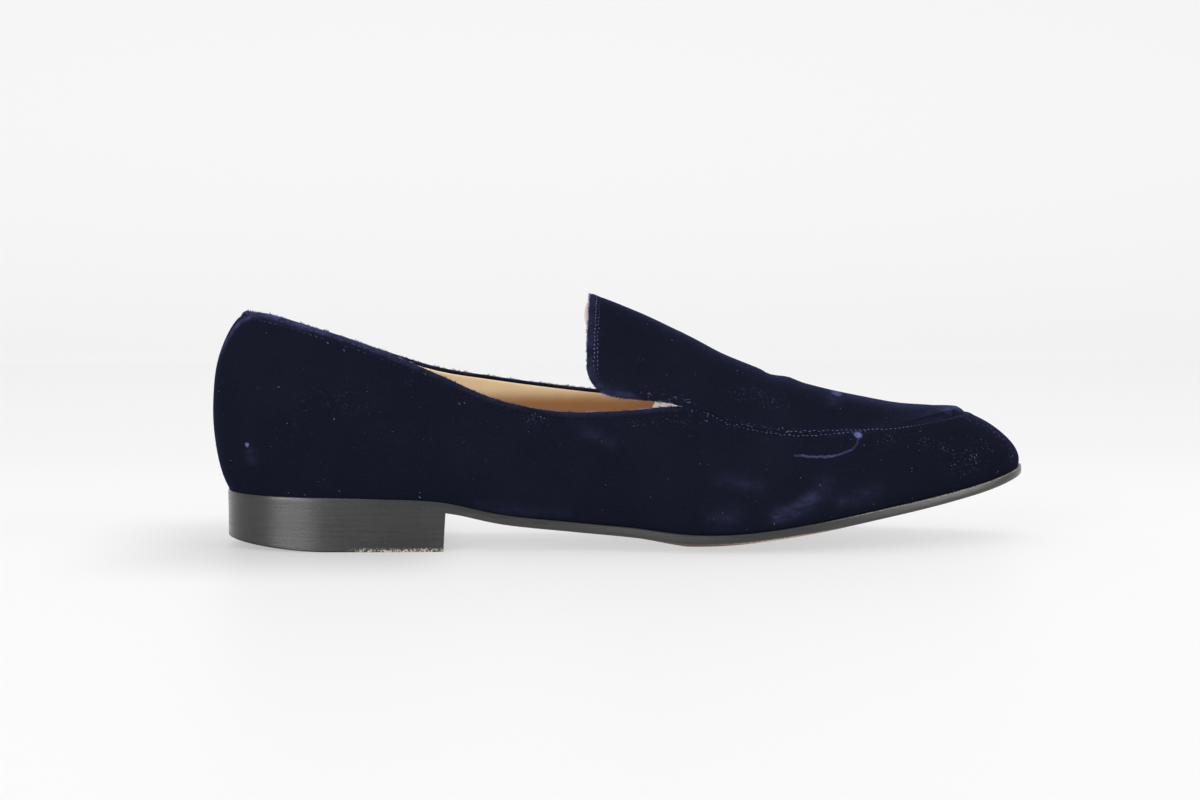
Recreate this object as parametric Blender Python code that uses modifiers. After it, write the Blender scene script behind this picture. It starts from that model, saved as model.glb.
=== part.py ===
"""Velvet slipper loafer, right shoe, standing on a floor at Z = 0.

While it is worked out, X runs from the back of the counter to the toe, +Y is the inner (medial)
side and Z is up. Stations go round the shoe: row 0 is the back of the heel, the last row is the
tip of the toe, and each row between holds a point of the outer (lateral) and the inner side.
"""

import bpy
import numpy as np

# Driving sizes, in metres
SHOE_LENGTH = 0.274  # back of the counter to the tip of the toe
HEEL_WIDTH = 0.0547  # across the feather line at the heel seat
WAIST_WIDTH = 0.0540  # across the feather line under the arch
BALL_WIDTH = 0.0755  # across the feather line at the ball
HEEL_HEIGHT = 0.0188  # floor to the feather line at the back
TOE_SPRING = 0.0189  # feather line at the toe above that at the ball
BALL_EDGE_LIFT = 0.0025  # floor to the sole's lower edge at the ball
COUNTER_HEIGHT = 0.0593  # feather line to the topline at the back
QUARTER_HEIGHT = 0.0360  # feather line to the lowest part of the topline
VAMP_HEIGHT = 0.0279  # feather line to the apron seam over the ball
INSTEP_RISE = 0.0320  # tongue's ridge above the topline
UPPER_WALL = 0.0018  # velvet, stiffener and lining together
SEAM_STEP = 0.0008  # how far the apron's edge stands above the vamp
SEAM_STEP_RUN = 0.0016  # width of that step
SEAM_FADE_RUN = 0.0080  # where the raised edge has settled into the apron
TONGUE_REACH = 0.0320  # length of the tongue behind the notch
TONGUE_LEAN = 0.0013  # the top of the tongue's edge lies this far ahead of its foot
TONGUE_SKEW = 0.0034  # and its medial end this far ahead of the lateral one
TONGUE_CORNER = 0.0085  # radius of the tongue's lower corners
TONGUE_SLIT = 0.0064  # slit between tongue and quarter at the tongue's edge
SOLE_THICKNESS = 0.0033
HEEL_MARGIN = 0.0003  # outsole beyond the feather line at the heel
WELT_MARGIN = 0.0010  # and round the forepart
SOLE_CROWN = 0.0037  # belly of the outsole below its edges, at the ball
HEEL_LENGTH = 0.0727  # back of the heel block to its breast
BREAST_LEAN = 0.0007  # the breast's foot lies this far behind its top
HEEL_WEAR_RUN = 0.0250  # length of the worn back of the heel
HEEL_WEAR_LIFT = 0.0019  # how far its back edge is worn off the floor
INSOLE_THICKNESS = 0.0022
INSOLE_INSET = 0.0012  # insole's edge inside the wall
FIT_GAP = 0.0003  # between two pieces that touch

# The feather line, where upper and sole meet. Along is a share of SHOE_LENGTH, lateral and medial
# are half widths as shares of the width that the row names, heel is a share of the heel seat's
# height above the ball, and toe is a share of TOE_SPRING.
FEATHER = (
    # along, width, lateral, medial, heel, toe
    (0.018, HEEL_WIDTH, 0.000, 0.000, 1.000, 0.000),
    (0.028, HEEL_WIDTH, 0.219, 0.219, 0.995, 0.000),
    (0.058, HEEL_WIDTH, 0.377, 0.377, 0.976, 0.000),
    (0.113, HEEL_WIDTH, 0.483, 0.475, 0.957, 0.000),
    (0.190, HEEL_WIDTH, 0.512, 0.488, 0.917, 0.000),
    (0.274, HEEL_WIDTH, 0.521, 0.466, 0.827, 0.000),
    (0.350, WAIST_WIDTH, 0.543, 0.431, 0.496, 0.000),
    (0.431, WAIST_WIDTH, 0.570, 0.431, 0.315, 0.000),
    (0.504, WAIST_WIDTH, 0.622, 0.493, 0.181, 0.000),
    (0.573, BALL_WIDTH, 0.490, 0.416, 0.016, 0.000),
    (0.642, BALL_WIDTH, 0.522, 0.473, 0.000, 0.042),
    (0.719, BALL_WIDTH, 0.506, 0.497, 0.000, 0.196),
    (0.799, BALL_WIDTH, 0.429, 0.461, 0.000, 0.392),
    (0.876, BALL_WIDTH, 0.322, 0.390, 0.000, 0.582),
    (0.942, BALL_WIDTH, 0.192, 0.303, 0.000, 0.767),
    (0.984, BALL_WIDTH, 0.066, 0.212, 0.000, 0.926),
    (1.000, BALL_WIDTH, -0.079, 0.079, 0.000, 1.000),
)

# The rail on top of the side wall: the topline from the back to the notch, then the apron seam
# to the toe. Half widths are shares of the width in the same row of FEATHER, and heights above
# the feather line are shares of the height that the row names.
NOTCH_ROW = 9
RAIL = (
    # along, lateral, medial, height, lateral height, medial height
    (0.042, 0.000, 0.000, COUNTER_HEIGHT, 1.000, 1.000),
    (0.052, 0.157, 0.157, COUNTER_HEIGHT, 0.999, 0.981),
    (0.075, 0.274, 0.274, COUNTER_HEIGHT, 0.992, 0.956),
    (0.122, 0.371, 0.371, COUNTER_HEIGHT, 0.935, 0.890),
    (0.190, 0.437, 0.437, COUNTER_HEIGHT, 0.841, 0.795),
    (0.270, 0.483, 0.481, COUNTER_HEIGHT, 0.707, 0.695),
    (0.343, 0.526, 0.524, QUARTER_HEIGHT, 1.044, 1.163),
    (0.416, 0.563, 0.559, QUARTER_HEIGHT, 1.000, 1.147),
    (0.493, 0.602, 0.589, QUARTER_HEIGHT, 1.053, 1.128),
    (0.566, 0.450, 0.448, QUARTER_HEIGHT, 1.144, 1.167),
    (0.631, 0.450, 0.464, VAMP_HEIGHT, 1.215, 1.269),
    (0.701, 0.426, 0.448, VAMP_HEIGHT, 1.000, 1.065),
    (0.774, 0.374, 0.407, VAMP_HEIGHT, 0.903, 0.943),
    (0.843, 0.291, 0.342, VAMP_HEIGHT, 0.828, 0.857),
    (0.896, 0.176, 0.241, VAMP_HEIGHT, 0.760, 0.774),
    (0.922, 0.061, 0.143, VAMP_HEIGHT, 0.681, 0.685),
    (0.930, -0.048, 0.048, VAMP_HEIGHT, 0.638, 0.638),
)

# How the side wall swells between feather line and rail: the two handles of its section. Out is
# a share of BALL_WIDTH, up and down are shares of the wall's own height.
SWELL = (
    # low out, low up, high out, high down
    (0.092, 0.22, 0.202, 0.185),
    (0.093, 0.22, 0.182, 0.21),
    (0.080, 0.22, 0.132, 0.27),
    (0.066, 0.23, 0.100, 0.32),
    (0.060, 0.24, 0.073, 0.36),
    (0.060, 0.25, 0.060, 0.36),
    (0.060, 0.27, 0.046, 0.33),
    (0.060, 0.28, 0.040, 0.31),
    (0.060, 0.28, 0.040, 0.30),
    (0.060, 0.26, 0.046, 0.28),
    (0.060, 0.29, 0.066, 0.27),
    (0.060, 0.32, 0.080, 0.27),
    (0.056, 0.33, 0.086, 0.24),
    (0.048, 0.34, 0.093, 0.20),
    (0.037, 0.35, 0.100, 0.16),
    (0.026, 0.37, 0.100, 0.13),
    (0.020, 0.38, 0.100, 0.12),
)

# The ridge of apron and tongue above the rail, as shares of INSTEP_RISE, from RIDGE_FIRST_ROW on.
RIDGE_FIRST_ROW = 7
RIDGE = (1.190, 1.000, 0.734, 0.652, 0.512, 0.333, 0.172, 0.088, 0.033, 0.000)
ARCH_FOOT_IN = 0.22  # handle at the foot of the apron's arch, as shares of its half span
ARCH_FOOT_UP = 0.50  # and of its rise
ARCH_TOP_OUT = 0.50  # handle at the ridge
SEAM_SETTLE = 2.5  # the arch's second row, as a multiple of SEAM_STEP_RUN
NARROW_ARCH = (0, 0.12, 0.28)  # the first rows' furthest places where the arch is short, as shares
WAIST_ROW = 5  # where the sole's margin starts to grow
ARCH_ROW = 8  # and where it is full
BALL_ROW = 9  # the outsole's belly is deepest here
BELLY_GROWTH = (0.25, 0.75)  # linear and cubic share of the belly's growth from breast to ball
BELLY_TOE_LOSS = 0.6  # share of the belly that is gone at the toe
WEAR_CURVE = 1.5  # power of the heel's worn curve

# Mesh density
PER_ROW = 3  # stations for each row of the tables
WALL_ROWS = 8
APRON_ROWS = 8
PLATE_COLUMNS = 8
ARCH_SAMPLES = 121  # fine points from which an arch's rows are read
CORNER_TURNS = 4  # sections in the tongue's rounded corner
SHARP_ANGLE = 40  # degrees; sharper edges stay hard

BALL_RISE = BALL_EDGE_LIFT + SOLE_THICKNESS + FIT_GAP
LAST_ROW = len(FEATHER) - 1
TOE = LAST_ROW * PER_ROW
AROUND = 2 * TOE
NOTCH = NOTCH_ROW * PER_ROW


def both_sides(lateral, medial):
    """Rows of the closed loop: lateral from heel to toe, then medial from toe to heel."""
    return np.array(list(lateral) + list(medial)[-2:0:-1])


def blend(before, here, after, later, share):
    """Catmull-Rom value a share of the way from here to after."""
    return 0.5 * (
        2 * here
        + (after - before) * share
        + (2 * before - 5 * here + 4 * after - later) * share**2
        + (3 * here - before - 3 * after + later) * share**3
    )


def smooth_loop(rows):
    """The closed loop through the rows, with PER_ROW stations from each row to the next."""
    around = [np.roll(rows, -shift, 0) for shift in (-1, 0, 1, 2)]
    parts = [blend(*around, k / PER_ROW) for k in range(PER_ROW)]
    return np.stack(parts, 1).reshape(len(rows) * PER_ROW, -1)


def feather_height(row):
    """Height of the feather line above the floor at a row of FEATHER."""
    return BALL_RISE + row[4] * (HEEL_HEIGHT - BALL_RISE) + row[5] * TOE_SPRING


def feather_loop():
    """Points of the feather line at every station."""
    sides = []
    for sign, column in ((-1, 2), (1, 3)):
        side = [(r[0] * SHOE_LENGTH, sign * r[column] * r[1], feather_height(r)) for r in FEATHER]
        sides.append(side)
    return smooth_loop(both_sides(*sides))


def rail_loop():
    """Points of the topline and the apron seam at every station."""
    sides = []
    for sign, column in ((-1, 1), (1, 2)):
        side = []
        for row, foot in zip(RAIL, FEATHER):
            height = feather_height(foot) + row[3] * row[column + 3]
            side.append((row[0] * SHOE_LENGTH, sign * row[column] * foot[1], height))
        sides.append(side)
    return smooth_loop(both_sides(*sides))


def outward(loop):
    """Unit normals of a loop in plan, pointing away from the shoe."""
    run = np.roll(loop, -1, 0) - np.roll(loop, 1, 0)
    normal = np.stack([run[:, 1], -run[:, 0]], 1)
    return normal / np.linalg.norm(normal, axis=1, keepdims=True)


FEATHER_LINE = feather_loop()
RAIL_LINE = rail_loop()
OUTWARD = outward(FEATHER_LINE)
SWELL_LINE = smooth_loop(both_sides(SWELL, SWELL))


def bezier(points, share):
    """Cubic Bezier over four control points, at one share or many."""
    share = np.asarray(share, float)[..., None]
    a, b, c, d = (np.asarray(p, float) for p in points)
    rest = 1 - share
    return rest**3 * a + 3 * rest**2 * share * b + 3 * rest * share**2 * c + share**3 * d


def wall_section(station):
    """Control points of the side wall's section at a station, from feather line to rail."""
    foot, head, side = FEATHER_LINE[station], RAIL_LINE[station], OUTWARD[station]
    low_out, low_up, high_out, high_down = SWELL_LINE[station]
    height = head[2] - foot[2]
    low = foot + (*(side * low_out * BALL_WIDTH), low_up * height)
    high = head + (*(side * high_out * BALL_WIDTH), -high_down * height)
    return foot, low, high, head


def ridge_rise(position):
    """Height of the ridge above the rail, at a position counted in rows."""
    rows = np.array(RIDGE) * INSTEP_RISE
    rows = np.concatenate([[2 * rows[0] - rows[1]], rows, [rows[-2]]])
    place = min(max(position - RIDGE_FIRST_ROW, 0), len(RIDGE) - 1 - 1e-9)
    first = int(place)
    return blend(*rows[first : first + 4], place - first)


def rail_at(side, position):
    """Point of the rail on one side, -1 lateral or 1 medial, at a position counted in rows."""
    station = position * PER_ROW
    first = int(min(station, TOE - 1))
    share = station - first
    ends = (first, first + 1) if side < 0 else (AROUND - first, AROUND - first - 1)
    start, stop = RAIL_LINE[ends[0] % AROUND], RAIL_LINE[ends[1] % AROUND]
    return start * (1 - share) + stop * share


def position_at(along):
    """Where the rail reaches a distance along the shoe, counted in rows."""
    reach = RAIL_LINE[: TOE + 1, 0]
    return float(np.interp(along, reach, np.arange(TOE + 1) / PER_ROW))


NOTCH_ALONG = RAIL_LINE[NOTCH, 0]
TONGUE_BACK = NOTCH_ALONG - TONGUE_REACH


def apron_positions():
    """Sections of tongue and apron from back to toe, counted in rows and close at the corner."""
    turns = np.linspace(0, np.pi / 2, CORNER_TURNS + 1)[:-1]
    corner = [position_at(TONGUE_BACK + TONGUE_CORNER * (1 - np.cos(turn))) for turn in turns]
    flat = position_at(TONGUE_BACK + TONGUE_CORNER)
    steps = int(round((NOTCH_ROW - flat) * PER_ROW))
    tongue = list(np.linspace(flat, NOTCH_ROW, steps + 1)[:-1])
    apron = [station / PER_ROW for station in range(NOTCH, TOE)]
    return corner + tongue + apron


def apron_foot(side, position):
    """Foot of the arch: on the seam ahead of the notch, and above the slit behind it."""
    foot = rail_at(side, position)
    behind = max(NOTCH_ALONG - foot[0], 0)
    return foot + (0, 0, TONGUE_SLIT * behind / TONGUE_REACH)


def corner_rise(along):
    """How far the rounded corner lifts the tongue's lower edge."""
    inside = TONGUE_CORNER - min(along - TONGUE_BACK, TONGUE_CORNER)
    return TONGUE_CORNER - np.sqrt(max(TONGUE_CORNER**2 - inside**2, 0))


def half_arch(side, position):
    """Points of one half of an apron section, from its edge up to the ridge."""
    foot = apron_foot(side, position)
    other = apron_foot(-side, position)
    ridge_height = (rail_at(side, position)[2] + rail_at(-side, position)[2]) / 2 + ridge_rise(position)
    top = np.array([foot[0], (foot[1] + other[1]) / 2, ridge_height])
    span = top[1] - foot[1]
    rise = top[2] - foot[2]
    low = foot + (0, ARCH_FOOT_IN * span, ARCH_FOOT_UP * rise)
    high = top - (0, ARCH_TOP_OUT * span, 0)
    dense = bezier((foot, low, high, top), np.linspace(0, 1, ARCH_SAMPLES))
    dense = dense[dense[:, 2] >= foot[2] + corner_rise(foot[0]) - 1e-7]
    length = np.concatenate([[0], np.cumsum(np.linalg.norm(np.diff(dense, axis=0), axis=1))])
    stops = SEAM_STEP_RUN * np.array([0, 1, SEAM_SETTLE])
    stops = np.minimum(stops, length[-1] * np.array(NARROW_ARCH))
    stops = np.concatenate([stops, np.linspace(stops[-1], length[-1], APRON_ROWS - 1)[1:]])
    points = np.stack([np.interp(stops, length, dense[:, axis]) for axis in range(3)], 1)
    behind = max(NOTCH_ALONG - foot[0], 0) / TONGUE_REACH
    if behind > 0:
        share = np.clip((points[:, 2] - foot[2]) / rise, 0, 1)
        across = 0.5 + (points[:, 1] - top[1]) / abs(span) / 2
        points[:, 0] += behind * (TONGUE_LEAN * share**2 + TONGUE_SKEW * across)
    return points


def seam_lift(points):
    """How far the apron stands proud near its seam, fading behind the notch."""
    seam = RAIL_LINE[NOTCH : AROUND - NOTCH + 1]
    away = np.min(np.linalg.norm(points[:, None] - seam[None], axis=2), axis=1)
    climb = np.clip(away / SEAM_STEP_RUN, 0, 1)
    settle = 1 - np.clip((away - SEAM_STEP_RUN) / (SEAM_FADE_RUN - SEAM_STEP_RUN), 0, 1)
    ahead = np.clip((points[:, 0] - NOTCH_ALONG) / SEAM_FADE_RUN, 0, 1)
    return SEAM_STEP * climb * settle * settle * ahead


def collection_for(name):
    """A new collection in the scene."""
    collection = bpy.data.collections.new(name)
    bpy.context.scene.collection.children.link(collection)
    return collection


def finish_of(name, colour, roughness):
    """Principled material of one piece."""
    material = bpy.data.materials.new(name)
    material.use_nodes = True
    shader = material.node_tree.nodes["Principled BSDF"]
    shader.inputs["Base Color"].default_value = (*colour, 1)
    shader.inputs["Roughness"].default_value = roughness
    shader.inputs["Metallic"].default_value = 0
    return material


def new_piece(name, points, faces, material, collection, parent):
    """One named object from its points and faces."""
    mesh = bpy.data.meshes.new(name)
    mesh.from_pydata([tuple(float(v) for v in point) for point in points], [], faces)
    mesh.validate()
    mesh.update()
    mesh.shade_smooth()
    mesh.set_sharp_from_angle(angle=np.radians(SHARP_ANGLE))
    mesh.materials.append(material)
    piece = bpy.data.objects.new(name, mesh)
    piece.parent = parent
    collection.objects.link(piece)
    return piece


def upper_surface():
    """Outer face of the upper: the side wall all round, with tongue and apron sewn into it."""
    points = []
    faces = []
    wall = np.zeros((AROUND, WALL_ROWS + 1), int)
    shares = np.linspace(0, 1, WALL_ROWS + 1)
    for station in range(AROUND):
        section = bezier(wall_section(station), shares)
        wall[station] = np.arange(len(points), len(points) + len(section))
        points.extend(section)
    for station in range(AROUND):
        ahead = (station + 1) % AROUND
        for row in range(WALL_ROWS):
            corners = (wall[station, row], wall[ahead, row], wall[ahead, row + 1], wall[station, row + 1])
            faces.append(tuple(int(c) for c in corners))

    sections = []
    for position in apron_positions():
        lateral = half_arch(-1, position)
        medial = half_arch(1, position)
        arch = np.concatenate([lateral, medial[-2::-1]])
        run = np.gradient(arch, axis=0)
        normal = np.stack([np.zeros(len(arch)), -run[:, 2], run[:, 1]], 1)
        normal /= np.maximum(np.linalg.norm(normal, axis=1, keepdims=True), 1e-9)
        arch = arch + normal * seam_lift(arch)[:, None]
        ids = np.arange(len(points), len(points) + len(arch))
        station = int(round(position * PER_ROW))
        if position >= NOTCH_ROW - 1e-9:
            ids[0] = wall[station, WALL_ROWS]
            ids[-1] = wall[AROUND - station, WALL_ROWS]
            ids[1:-1] = np.arange(len(points), len(points) + len(arch) - 2)
            arch = arch[1:-1]
        points.extend(arch)
        sections.append([int(i) for i in ids])
    for back, front in zip(sections, sections[1:]):
        for k in range(len(back) - 1):
            faces.append((back[k], front[k], front[k + 1], back[k + 1]))
    tip = int(wall[TOE, WALL_ROWS])
    last = sections[-1]
    for k in range(len(last) - 1):
        faces.append((last[k], tip, last[k + 1]))
    return points, faces


def make_upper(material, collection, parent):
    """The upper: its outer face with the wall's thickness inwards."""
    points, faces = upper_surface()
    upper = new_piece("upper", points, faces, material, collection, parent)
    shell = upper.modifiers.new("wall", "SOLIDIFY")
    shell.thickness = UPPER_WALL
    shell.offset = -1
    shell.use_rim = True
    return upper


def station_line(loop, margin):
    """A loop moved outwards in plan by a margin, one value or one for each station."""
    moved = loop.copy()
    moved[:, :2] += outward(loop) * np.reshape(margin, (-1, 1))
    return moved


def plate(lateral, medial, top, bottom, closed_front):
    """Points and faces of a plate between two edge lines, from heel to toe. Top and bottom give
    the height at a point of the plan, its station's edge height and its share across (-1 to 1)."""
    points = []
    faces = []
    across = np.linspace(-1, 1, PLATE_COLUMNS + 1)
    rows = []
    for left, right in zip(lateral, medial):
        single = np.linalg.norm(left[:2] - right[:2]) < FIT_GAP
        row = []
        for share in across[:1] if single else across:
            place = left if single else left + (right - left) * (share + 1) / 2
            v = 0 if single else share
            row.append((len(points), len(points) + 1))
            points.append((place[0], place[1], top(place, v)))
            points.append((place[0], place[1], bottom(place, v)))
        rows.append(row)

    def quad(a, b, c, d):
        ring = []
        for corner in (a, b, c, d):
            if corner not in ring:
                ring.append(corner)
        if len(ring) > 2:
            faces.append(tuple(ring))

    for back, front in zip(rows, rows[1:]):
        for k in range(PLATE_COLUMNS):
            b0, b1 = back[min(k, len(back) - 1)], back[min(k + 1, len(back) - 1)]
            f0, f1 = front[min(k, len(front) - 1)], front[min(k + 1, len(front) - 1)]
            quad(b0[0], f0[0], f1[0], b1[0])
            quad(b0[1], b1[1], f1[1], f0[1])
        quad(back[0][0], back[0][1], front[0][1], front[0][0])
        quad(back[-1][0], front[-1][0], front[-1][1], back[-1][1])
    if not closed_front:
        for left, right in zip(rows[-1], rows[-1][1:]):
            quad(left[0], left[1], right[1], right[0])
    return points, faces


def side_lines(loop, last):
    """Lateral and medial edge of a loop from the back to a station."""
    lateral = loop[: last + 1]
    medial = np.array([loop[(AROUND - station) % AROUND] for station in range(last + 1)])
    return lateral, medial


def sole_margin():
    """The sole's margin at each station, growing from heel to forepart."""
    along = FEATHER_LINE[:, 0] / SHOE_LENGTH
    start, full = FEATHER[WAIST_ROW][0], FEATHER[ARCH_ROW][0]
    grow = np.clip((along - start) / (full - start), 0, 1)
    return HEEL_MARGIN + (WELT_MARGIN - HEEL_MARGIN) * grow


SOLE_EDGE = station_line(FEATHER_LINE, sole_margin())
BREAST = SOLE_EDGE[0, 0] + HEEL_LENGTH


def sole_crown(along):
    """Depth of the outsole's belly: none over the heel block, all at the ball, less at the toe."""
    ball = FEATHER[BALL_ROW][0] * SHOE_LENGTH
    grow = np.clip((along - BREAST) / (ball - BREAST), 0, 1)
    fade = np.clip((along - ball) / (SHOE_LENGTH - ball), 0, 1)
    depth = BELLY_GROWTH[0] * grow + BELLY_GROWTH[1] * grow**3
    return SOLE_CROWN * depth * (1 - BELLY_TOE_LOSS * fade)


def sole_bottom(place, share):
    """Underside of the outsole, trodden flat where its belly would pass the floor."""
    edge = place[2] - FIT_GAP - SOLE_THICKNESS
    return max(edge - sole_crown(place[0]) * (1 - share**2), 0)


def make_outsole(material, collection, parent):
    """The outsole, from heel to toe."""
    lateral, medial = side_lines(SOLE_EDGE, TOE)
    points, faces = plate(lateral, medial, lambda p, v: p[2] - FIT_GAP, sole_bottom, True)
    return new_piece("outsole", points, faces, material, collection, parent)


def make_heel(material, collection, parent):
    """Heel block under the seat, flush with the outsole's edge, worn off at the back."""
    reach = [k for k in range(TOE) if SOLE_EDGE[k, 0] < BREAST - FIT_GAP]
    lateral, medial = side_lines(SOLE_EDGE, reach[-1] + 1)
    for line in (lateral, medial):
        share = (BREAST - line[-2, 0]) / (line[-1, 0] - line[-2, 0])
        line[-1] = line[-2] + (line[-1] - line[-2]) * share
    back = SOLE_EDGE[0, 0]

    def heel_top(place, share):
        return sole_bottom(place, share) - FIT_GAP

    def heel_bottom(place, share):
        worn = np.clip(1 - (place[0] - back) / HEEL_WEAR_RUN, 0, 1)
        return HEEL_WEAR_LIFT * worn**WEAR_CURVE

    points, faces = plate(lateral, medial, heel_top, heel_bottom, False)
    foot = [(x - BREAST_LEAN, y, z) if x > BREAST - FIT_GAP and z < FIT_GAP else (x, y, z) for x, y, z in points]
    return new_piece("heel", foot, faces, material, collection, parent)


def make_insole(material, collection, parent):
    """Insole inside the wall, on the outsole."""
    edge = station_line(FEATHER_LINE, -(UPPER_WALL + INSOLE_INSET))
    lateral, medial = side_lines(edge, TOE)
    points, faces = plate(lateral, medial, lambda p, v: p[2] + INSOLE_THICKNESS, lambda p, v: p[2], True)
    return new_piece("insole", points, faces, material, collection, parent)


def main():
    """Makes the four pieces, with the origin on the floor under the middle of the shoe."""
    for old in list(bpy.data.objects):
        bpy.data.objects.remove(old)
    collection = collection_for("velvet_slipper_loafer")
    origin = bpy.data.objects.new("shoe_origin", None)
    collection.objects.link(origin)

    velvet = finish_of("velvet", (0.006, 0.008, 0.022), 0.85)
    edge_paint = finish_of("edge_paint", (0.035, 0.037, 0.038), 0.42)
    heel_paint = finish_of("heel_paint", (0.035, 0.037, 0.038), 0.38)
    sock_leather = finish_of("sock_leather", (0.55, 0.33, 0.15), 0.55)

    pieces = [
        make_upper(velvet, collection, origin),
        make_outsole(edge_paint, collection, origin),
        make_heel(heel_paint, collection, origin),
        make_insole(sock_leather, collection, origin),
    ]
    corners = np.array([tuple(vertex.co) for piece in pieces for vertex in piece.data.vertices])
    middle = (corners.min(0) + corners.max(0)) / 2
    origin.location = (-middle[0], -middle[1], 0)
    bpy.context.view_layer.update()


main()
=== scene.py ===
import math

import bpy
import numpy as np
from bpy.props import FloatProperty, FloatVectorProperty, IntProperty, PointerProperty
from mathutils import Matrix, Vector
from mathutils.bvhtree import BVHTree


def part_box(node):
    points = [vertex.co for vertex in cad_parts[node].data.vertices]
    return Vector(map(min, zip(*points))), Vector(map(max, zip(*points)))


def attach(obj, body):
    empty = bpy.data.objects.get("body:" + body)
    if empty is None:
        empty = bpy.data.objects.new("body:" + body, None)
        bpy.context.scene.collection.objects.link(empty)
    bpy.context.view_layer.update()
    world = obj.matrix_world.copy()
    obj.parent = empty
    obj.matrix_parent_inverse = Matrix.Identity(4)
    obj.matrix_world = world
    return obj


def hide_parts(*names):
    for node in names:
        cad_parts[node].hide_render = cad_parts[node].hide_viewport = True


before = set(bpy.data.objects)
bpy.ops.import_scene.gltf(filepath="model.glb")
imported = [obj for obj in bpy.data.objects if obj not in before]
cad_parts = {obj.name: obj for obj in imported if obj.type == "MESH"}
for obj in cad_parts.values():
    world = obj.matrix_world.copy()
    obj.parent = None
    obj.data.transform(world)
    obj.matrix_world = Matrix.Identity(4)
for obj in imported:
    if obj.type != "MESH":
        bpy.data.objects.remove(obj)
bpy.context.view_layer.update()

bl_info = {
    "name": "Velvet slipper loafer",
    "version": (1, 0, 0),
    "blender": (4, 5, 0),
    "location": "3D Viewport > Sidebar > Loafer",
    "description": "Dresses the frame of a slipper loafer in velvet, leather, painted edges and thread",
    "category": "Object",
}

MM = 0.001

# The feather line, where upper and sole meet, from the back of the heel to the toe. X runs from the
# back of the counter to the toe, +Y is the medial side and Z is up. Along is a share of the shoe's
# length, lateral and medial are half widths as shares of the named width, heel is a share of the
# seat's height above the ball, and toe is a share of the toe spring.
FEATHER = (
    # along, width, lateral, medial, heel, toe
    (0.018, "heel", 0.000, 0.000, 1.000, 0.000),
    (0.028, "heel", 0.219, 0.219, 0.995, 0.000),
    (0.058, "heel", 0.377, 0.377, 0.976, 0.000),
    (0.113, "heel", 0.483, 0.475, 0.957, 0.000),
    (0.190, "heel", 0.512, 0.488, 0.917, 0.000),
    (0.274, "heel", 0.521, 0.466, 0.827, 0.000),
    (0.350, "waist", 0.543, 0.431, 0.496, 0.000),
    (0.431, "waist", 0.570, 0.431, 0.315, 0.000),
    (0.504, "waist", 0.622, 0.493, 0.181, 0.000),
    (0.573, "ball", 0.490, 0.416, 0.016, 0.000),
    (0.642, "ball", 0.522, 0.473, 0.000, 0.042),
    (0.719, "ball", 0.506, 0.497, 0.000, 0.196),
    (0.799, "ball", 0.429, 0.461, 0.000, 0.392),
    (0.876, "ball", 0.322, 0.390, 0.000, 0.582),
    (0.942, "ball", 0.192, 0.303, 0.000, 0.767),
    (0.984, "ball", 0.066, 0.212, 0.000, 0.926),
    (1.000, "ball", -0.079, 0.079, 0.000, 1.000),
)

# The rail on top of the side wall: the topline as far as the notch, then the apron seam. Half
# widths are shares of the width in the same row of FEATHER, heights are shares of the named height.
NOTCH_ROW = 9
RAIL = (
    # along, lateral, medial, height, lateral height, medial height
    (0.042, 0.000, 0.000, "counter", 1.000, 1.000),
    (0.052, 0.157, 0.157, "counter", 0.999, 0.981),
    (0.075, 0.274, 0.274, "counter", 0.992, 0.956),
    (0.122, 0.371, 0.371, "counter", 0.935, 0.890),
    (0.190, 0.437, 0.437, "counter", 0.841, 0.795),
    (0.270, 0.483, 0.481, "counter", 0.707, 0.695),
    (0.343, 0.526, 0.524, "quarter", 1.044, 1.163),
    (0.416, 0.563, 0.559, "quarter", 1.000, 1.147),
    (0.493, 0.602, 0.589, "quarter", 1.053, 1.128),
    (0.566, 0.450, 0.448, "quarter", 1.144, 1.167),
    (0.631, 0.450, 0.464, "vamp", 1.215, 1.269),
    (0.701, 0.426, 0.448, "vamp", 1.000, 1.065),
    (0.774, 0.374, 0.407, "vamp", 0.903, 0.943),
    (0.843, 0.291, 0.342, "vamp", 0.828, 0.857),
    (0.896, 0.176, 0.241, "vamp", 0.760, 0.774),
    (0.922, 0.061, 0.143, "vamp", 0.681, 0.685),
    (0.930, -0.048, 0.048, "vamp", 0.638, 0.638),
)

# How the side wall swells between feather line and rail: the two handles of its section. Out is a
# share of the ball's width, up and down are shares of the wall's own height.
SWELL = (
    # low out, low up, high out, high down
    (0.092, 0.22, 0.202, 0.185),
    (0.093, 0.22, 0.182, 0.21),
    (0.080, 0.22, 0.132, 0.27),
    (0.066, 0.23, 0.100, 0.32),
    (0.060, 0.24, 0.073, 0.36),
    (0.060, 0.25, 0.060, 0.36),
    (0.060, 0.27, 0.046, 0.33),
    (0.060, 0.28, 0.040, 0.31),
    (0.060, 0.28, 0.040, 0.30),
    (0.060, 0.26, 0.046, 0.28),
    (0.060, 0.29, 0.066, 0.27),
    (0.060, 0.32, 0.080, 0.27),
    (0.056, 0.33, 0.086, 0.24),
    (0.048, 0.34, 0.093, 0.20),
    (0.037, 0.35, 0.100, 0.16),
    (0.026, 0.37, 0.100, 0.13),
    (0.020, 0.38, 0.100, 0.12),
)

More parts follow.
